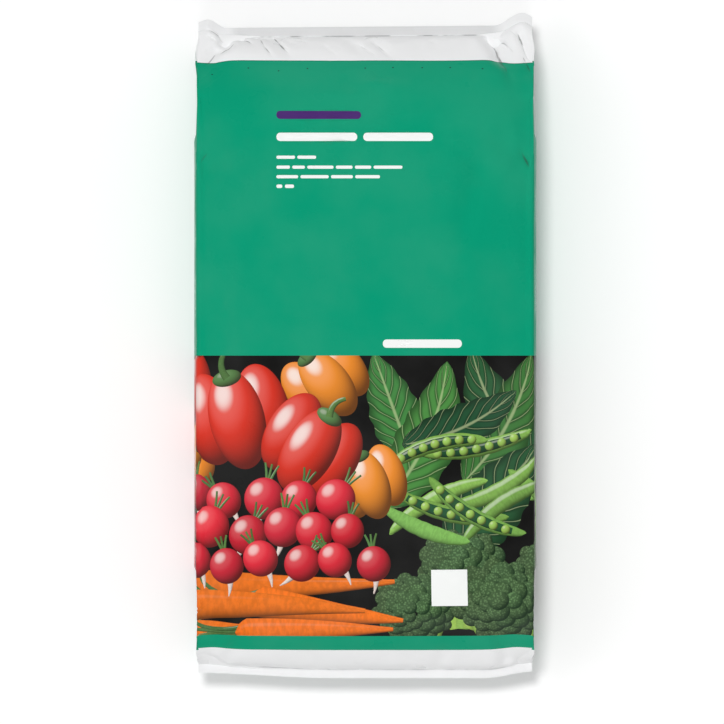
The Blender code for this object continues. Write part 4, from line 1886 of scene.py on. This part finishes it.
@dataclass(frozen=True)
class Inks:
    """The inks on the film. Each method wires one paint's colour on a board and gives its socket."""

    effects: SharedEffects
    film: FilmFinish = FilmFinish()
    white: Colour = (0.955, 0.96, 0.965)
    # Painted shade: the grey of the top fin and of the weld's pressed groove
    fin_shade_grey: Colour = (0.74, 0.745, 0.75)
    weld_groove_shade: Colour = (0.3, 0.305, 0.31)
    weld_line: float = 0.0004
    weld_reach: Pair = (0.15, 0.168)
    green: Colour = from_screen(0, 156, 118)
    deep_green: Colour = (0.0, 0.1, 0.06)
    green_edge: float = 0.0587
    ground: Colour = from_screen(6, 6, 5)
    round_shade: Colour = (0.02, 0.006, 0.004)
    round_shine: Colour = (1.0, 0.93, 0.88)
    long_shade: Colour = (0.005, 0.01, 0.003)
    long_shine: Colour = (0.95, 1.0, 0.85)
    grain_pitch: float = 30.0
    bud_shade: Colour = (0.003, 0.008, 0.003)
    bud_light: Colour = (0.55, 0.75, 0.35)
    bud_scale: float = 380.0
    leaf_shade: Colour = (0.004, 0.012, 0.004)
    vein_pale: Colour = (0.75, 0.85, 0.45)
    vein_count: float = 9.0
    vein_slant: float = 2.2

    def white_film(self, board: Board) -> Socket:
        """White film, with a broken grey line of painted shade in the weld's pressed groove, and painted
        shade on the fin at the top and on the slope just under it.

        Args:
            board: The material's board.

        Returns:
            The colour.
        """
        distance, place = board.read("from_weld"), board.place()
        # Painted shade: a broken grey line along the weld's pressed groove
        off = board.math("ABSOLUTE", board.math("SUBTRACT", distance, self.weld_line))
        line = board.span(off, 0.0003, 0.0016, 1.0, 0.0)
        factors = {0: place, 1: (1.0, 0.05, 0.05)}
        stretched = board.node("ShaderNodeVectorMath", factors, operation="MULTIPLY").outputs[0]
        broken = board.span(board.noise(stretched, 42, 2), 0.44, 0.6, 0.15, 0.95)
        # Painted shade: the fin between the ears is greyer, and the slope just under the top weld is greyed
        # towards it
        x, y, _ = board.parts(place)
        between = board.span(board.math("ABSOLUTE", x), *self.weld_reach, 1.0, 0.0)
        top = board.times(between, board.math("GREATER_THAN", y, 0.0))
        fin = board.times(board.span(distance, 0.0, -0.0015), board.math("MULTIPLY_ADD", top, 0.68, 0.32))
        under = board.times(board.span(distance, 0.02, 0.0, 0.0, 0.12), top)
        shade_greyed_white = board.blend(board.math("MAXIMUM", fin, under), (*self.white, 1.0), (*self.fin_shade_grey, 1.0))
        share = board.times(board.times(line, broken), board.math("MULTIPLY_ADD", top, 0.7, 0.3))
        return board.blend(share, shade_greyed_white, (*self.weld_groove_shade, 1.0))

    def green_print(self, board: Board) -> Socket:
        """Green ink, with the darker edge that it has along the top white band.

        Args:
            board: The material's board.

        Returns:
            The colour.
        """
        off = board.math("ABSOLUTE", board.math("SUBTRACT", board.read("from_weld"), self.green_edge))
        y = board.parts(board.place())[1]
        edge = board.times(board.span(off, 0.0003, 0.0009, 0.6, 0.0), board.math("GREATER_THAN", y, 0.0))
        return board.blend(edge, (*self.green, 1.0), (*self.deep_green, 1.0))

    def flat(self, board: Board) -> Socket:
        """A form's own colour, drawn flat."""
        return board.tint()

    def round(self, board: Board) -> Socket:
        """A round form with a shaded side and a shine.

        Args:
            board: The material's board.

        Returns:
            The colour.
        """
        dome, tint = board.use(self.effects.dome, Spot=board.spot()), board.tint()
        lit = board.blend(dome["Shade"], board.blend(0.86, tint, (*self.round_shade, 1.0)), tint)
        return board.blend(dome["Shine"], lit, (*self.round_shine, 1.0))

    def long(self, board: Board) -> Socket:
        """A long form with a shaded side and a line of shine.

        Args:
            board: The material's board.

        Returns:
            The colour.
        """
        tube, tint = board.use(self.effects.tube, Spot=board.spot()), board.tint()
        across, along, _ = board.parts(board.spot())
        rings = {0: board.times(along, self.grain_pitch), 1: across}
        ringed = board.node("ShaderNodeCombineXYZ", rings).outputs[0]
        grain = board.span(board.noise(ringed, 1.3, 3), 0.35, 0.65, 0.78, 1.0)
        deep = board.blend(0.82, tint, (*self.long_shade, 1.0))
        lit = board.blend(board.times(tube["Shade"], grain), deep, tint)
        return board.blend(board.times(tube["Shine"], 0.35), lit, (*self.long_shine, 1.0))

    def bud(self, board: Board) -> Socket:
        """A clump of small buds, pale on top and dark between.

        Args:
            board: The material's board.

        Returns:
            The colour.
        """
        dome, tint = board.use(self.effects.dome, Spot=board.spot()), board.tint()
        buds = {"Vector": board.place(), "Scale": self.bud_scale}
        cells = board.node("ShaderNodeTexVoronoi", buds).outputs["Distance"]
        lit = board.times(dome["Shade"], board.span(cells, 0.65, 0.05, 0.35, 1.0))
        deep = board.blend(0.85, tint, (*self.bud_shade, 1.0))
        return board.blend(lit, deep, board.blend(0.22, tint, (*self.bud_light, 1.0)))

    def leaf(self, board: Board) -> Socket:
        """A leaf with a pale midrib and side veins.

        Args:
            board: The material's board.

        Returns:
            The colour.
        """
        tint = board.tint()
        across, along, _ = board.parts(board.spot())
        aside = board.math("ABSOLUTE", across)
        slanted = board.times(along, self.vein_count)
        slanted = board.math("SUBTRACT", slanted, board.times(aside, self.vein_slant))
        vein = board.math("ABSOLUTE", board.math("SUBTRACT", board.math("FRACT", slanted), 0.5))
        veins = board.math("MAXIMUM", board.span(vein, 0.06, 0.0), board.span(aside, 0.09, 0.02))
        deep = board.blend(0.7, tint, (*self.leaf_shade, 1.0))
        swell = board.times(board.span(vein, 0.0, 0.35), board.span(aside, 1.05, 0.5))
        pale = board.blend(0.45, tint, (*self.vein_pale, 1.0))
        return board.blend(board.times(veins, 0.8), board.blend(swell, deep, tint), pale)

    def materials(self) -> list[bpy.types.Material]:
        """One material for each paint, in the order of the paints."""
        inks = {
            Paint.WHITE: self.white_film,
            Paint.GREEN: self.green_print,
            Paint.GROUND: self.ground,
            Paint.FLAT: self.flat,
            Paint.HOLE: self.flat,
            Paint.ROUND: self.round,
            Paint.LONG: self.long,
            Paint.LEAF: self.leaf,
            Paint.BUD: self.bud,
        }
        return [self.film.inked(paint.value, self.effects, inks[paint]) for paint in Paint]


@dataclass
class PrintedSack:
    """The filled sack: its form, its wrinkles and its print."""

    shape: SackShape = SackShape()
    finish: FilmFinish = FilmFinish()

    def build(self) -> bpy.types.Object:
        """Makes the sack in place of its CAD node.

        Returns:
            The sack.
        """
        settled = SettledFilm(self.shape)
        settled.settle()
        LOG.info("the film has settled, wrinkles up to %.1f mm", 1000 * float(settled.heights.max()))
        mesh = SackSkin(self.shape, Relief(self.shape, settled), SackPrint(self.shape)).mesh()
        for material in Inks(SharedEffects(), self.finish).materials():
            mesh.materials.append(material)
        sack = placed("film_sack", mesh)
        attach(sack, "root")
        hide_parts(NODE)
        return sack


@dataclass(frozen=True)
class Lamp:
    """A distant lamp: its strength, its tilt from straight above, where it stands and how broad it is."""

    name: str
    strength: float
    tilt: float
    stands: float
    spread: float
    in_gloss: bool

    def build(self) -> None:
        """Makes the lamp."""
        light = bpy.data.lights.new(self.name, "SUN")
        light.energy = self.strength
        light.angle = self.spread
        lamp = placed(self.name, light)
        lamp.visible_glossy = self.in_gloss
        towards = Vector((math.cos(self.stands), math.sin(self.stands), 1 / math.tan(self.tilt)))
        lamp.rotation_euler = towards.to_track_quat("Z", "Y").to_euler()


@dataclass(frozen=True)
class Studio:
    """The pale floor, the lamps and the camera straight above."""

    floor_size: float = 4.0
    floor_level: float = -0.0004
    world_strength: float = 0.39
    floor_glow: float = 0.08
    lamps: tuple[Lamp, ...] = (
        Lamp("key", 1.25, math.radians(12.5), math.radians(115), math.radians(9), False),
        Lamp("lower_fill", 0.66, math.radians(60), math.radians(-90), math.radians(30), True),
        Lamp("upper_fill", 0.28, math.radians(60), math.radians(90), math.radians(30), True),
        Lamp("sheen", 0.18, math.radians(38), math.radians(175), math.radians(22), True),
    )
    floor_grey: Colour = (0.62, 0.62, 0.62)
    camera_height: float = 2.5
    image_pixels: int = 724
    pixel_size: float = 0.0012041
    view_centre: Pair = (-0.0039, -0.0201)

    def build(self) -> None:
        """Makes the whole studio."""
        self.build_floor()
        self.build_world()
        for lamp in self.lamps:
            lamp.build()
        self.build_camera()

    def seen(self, board: Board) -> Socket:
        """1 where the surface is seen straight, in a gloss or through something clear, and else 0.

        Args:
            board: The board of the floor or the world.

        Returns:
            The value.
        """
        path = board.node("ShaderNodeLightPath").outputs
        either = board.math("MAXIMUM", path["Is Camera Ray"], path["Is Glossy Ray"])
        return board.math("MAXIMUM", either, path["Is Transmission Ray"])

    def build_floor(self) -> None:
        """A pale floor that shows white and keeps the sack's shadow."""
        half = self.floor_size / 2
        mesh = bpy.data.meshes.new("floor")
        corners = [(-half, -half, 0), (half, -half, 0), (half, half, 0), (-half, half, 0)]
        mesh.from_pydata(corners, [], [(0, 1, 2, 3)])
        floor = placed("floor", mesh)
        floor.location.z = self.floor_level
        material = bpy.data.materials.new("pale_floor")
        material.use_nodes = True
        board = Board(material.node_tree)
        shader = material.node_tree.nodes["Principled BSDF"]
        shader.inputs["Roughness"].default_value = 1.0
        shader.inputs["Specular IOR Level"].default_value = 0.0
        seen = self.seen(board)
        colour = board.blend(seen, (*self.floor_grey, 1.0), (1.0, 1.0, 1.0, 1.0))
        board.join(colour, shader.inputs["Base Color"])
        glow = board.blend(seen, (0.0, 0.0, 0.0, 1.0), (*[self.floor_glow] * 3, 1.0))
        board.join(glow, shader.inputs["Emission Color"])
        shader.inputs["Emission Strength"].default_value = 1.0
        mesh.materials.append(material)

    def build_world(self) -> None:
        """White where it is seen, and a plain light from all round."""
        world = bpy.data.worlds.new("white_room")
        bpy.context.scene.world = world
        world.use_nodes = True
        board = Board(world.node_tree)
        background = world.node_tree.nodes["Background"]
        background.inputs["Color"].default_value = (1.0, 1.0, 1.0, 1.0)
        strength = board.math("MULTIPLY_ADD", self.seen(board), 1 - self.world_strength, self.world_strength)
        board.join(strength, background.inputs["Strength"])

    def build_camera(self) -> None:
        """A camera straight above, as the photograph is taken."""
        camera = bpy.data.cameras.new("camera")
        camera.type = "ORTHO"
        camera.ortho_scale = self.image_pixels * self.pixel_size
        seat = placed("camera", camera)
        seat.location = (*self.view_centre, self.camera_height)
        bpy.context.scene.camera = seat
        bpy.context.scene.view_settings.view_transform = "Standard"


def main() -> None:
    """Builds the sack and its studio."""
    logging.basicConfig(level=logging.INFO, format="%(message)s")
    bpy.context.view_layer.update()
    sack = PrintedSack().build()
    LOG.info("%s: %d faces", sack.name, len(sack.data.polygons))
    Studio().build()
    LOG.info("studio: floor, lamps and camera")


if __name__ == "__main__":
    main()
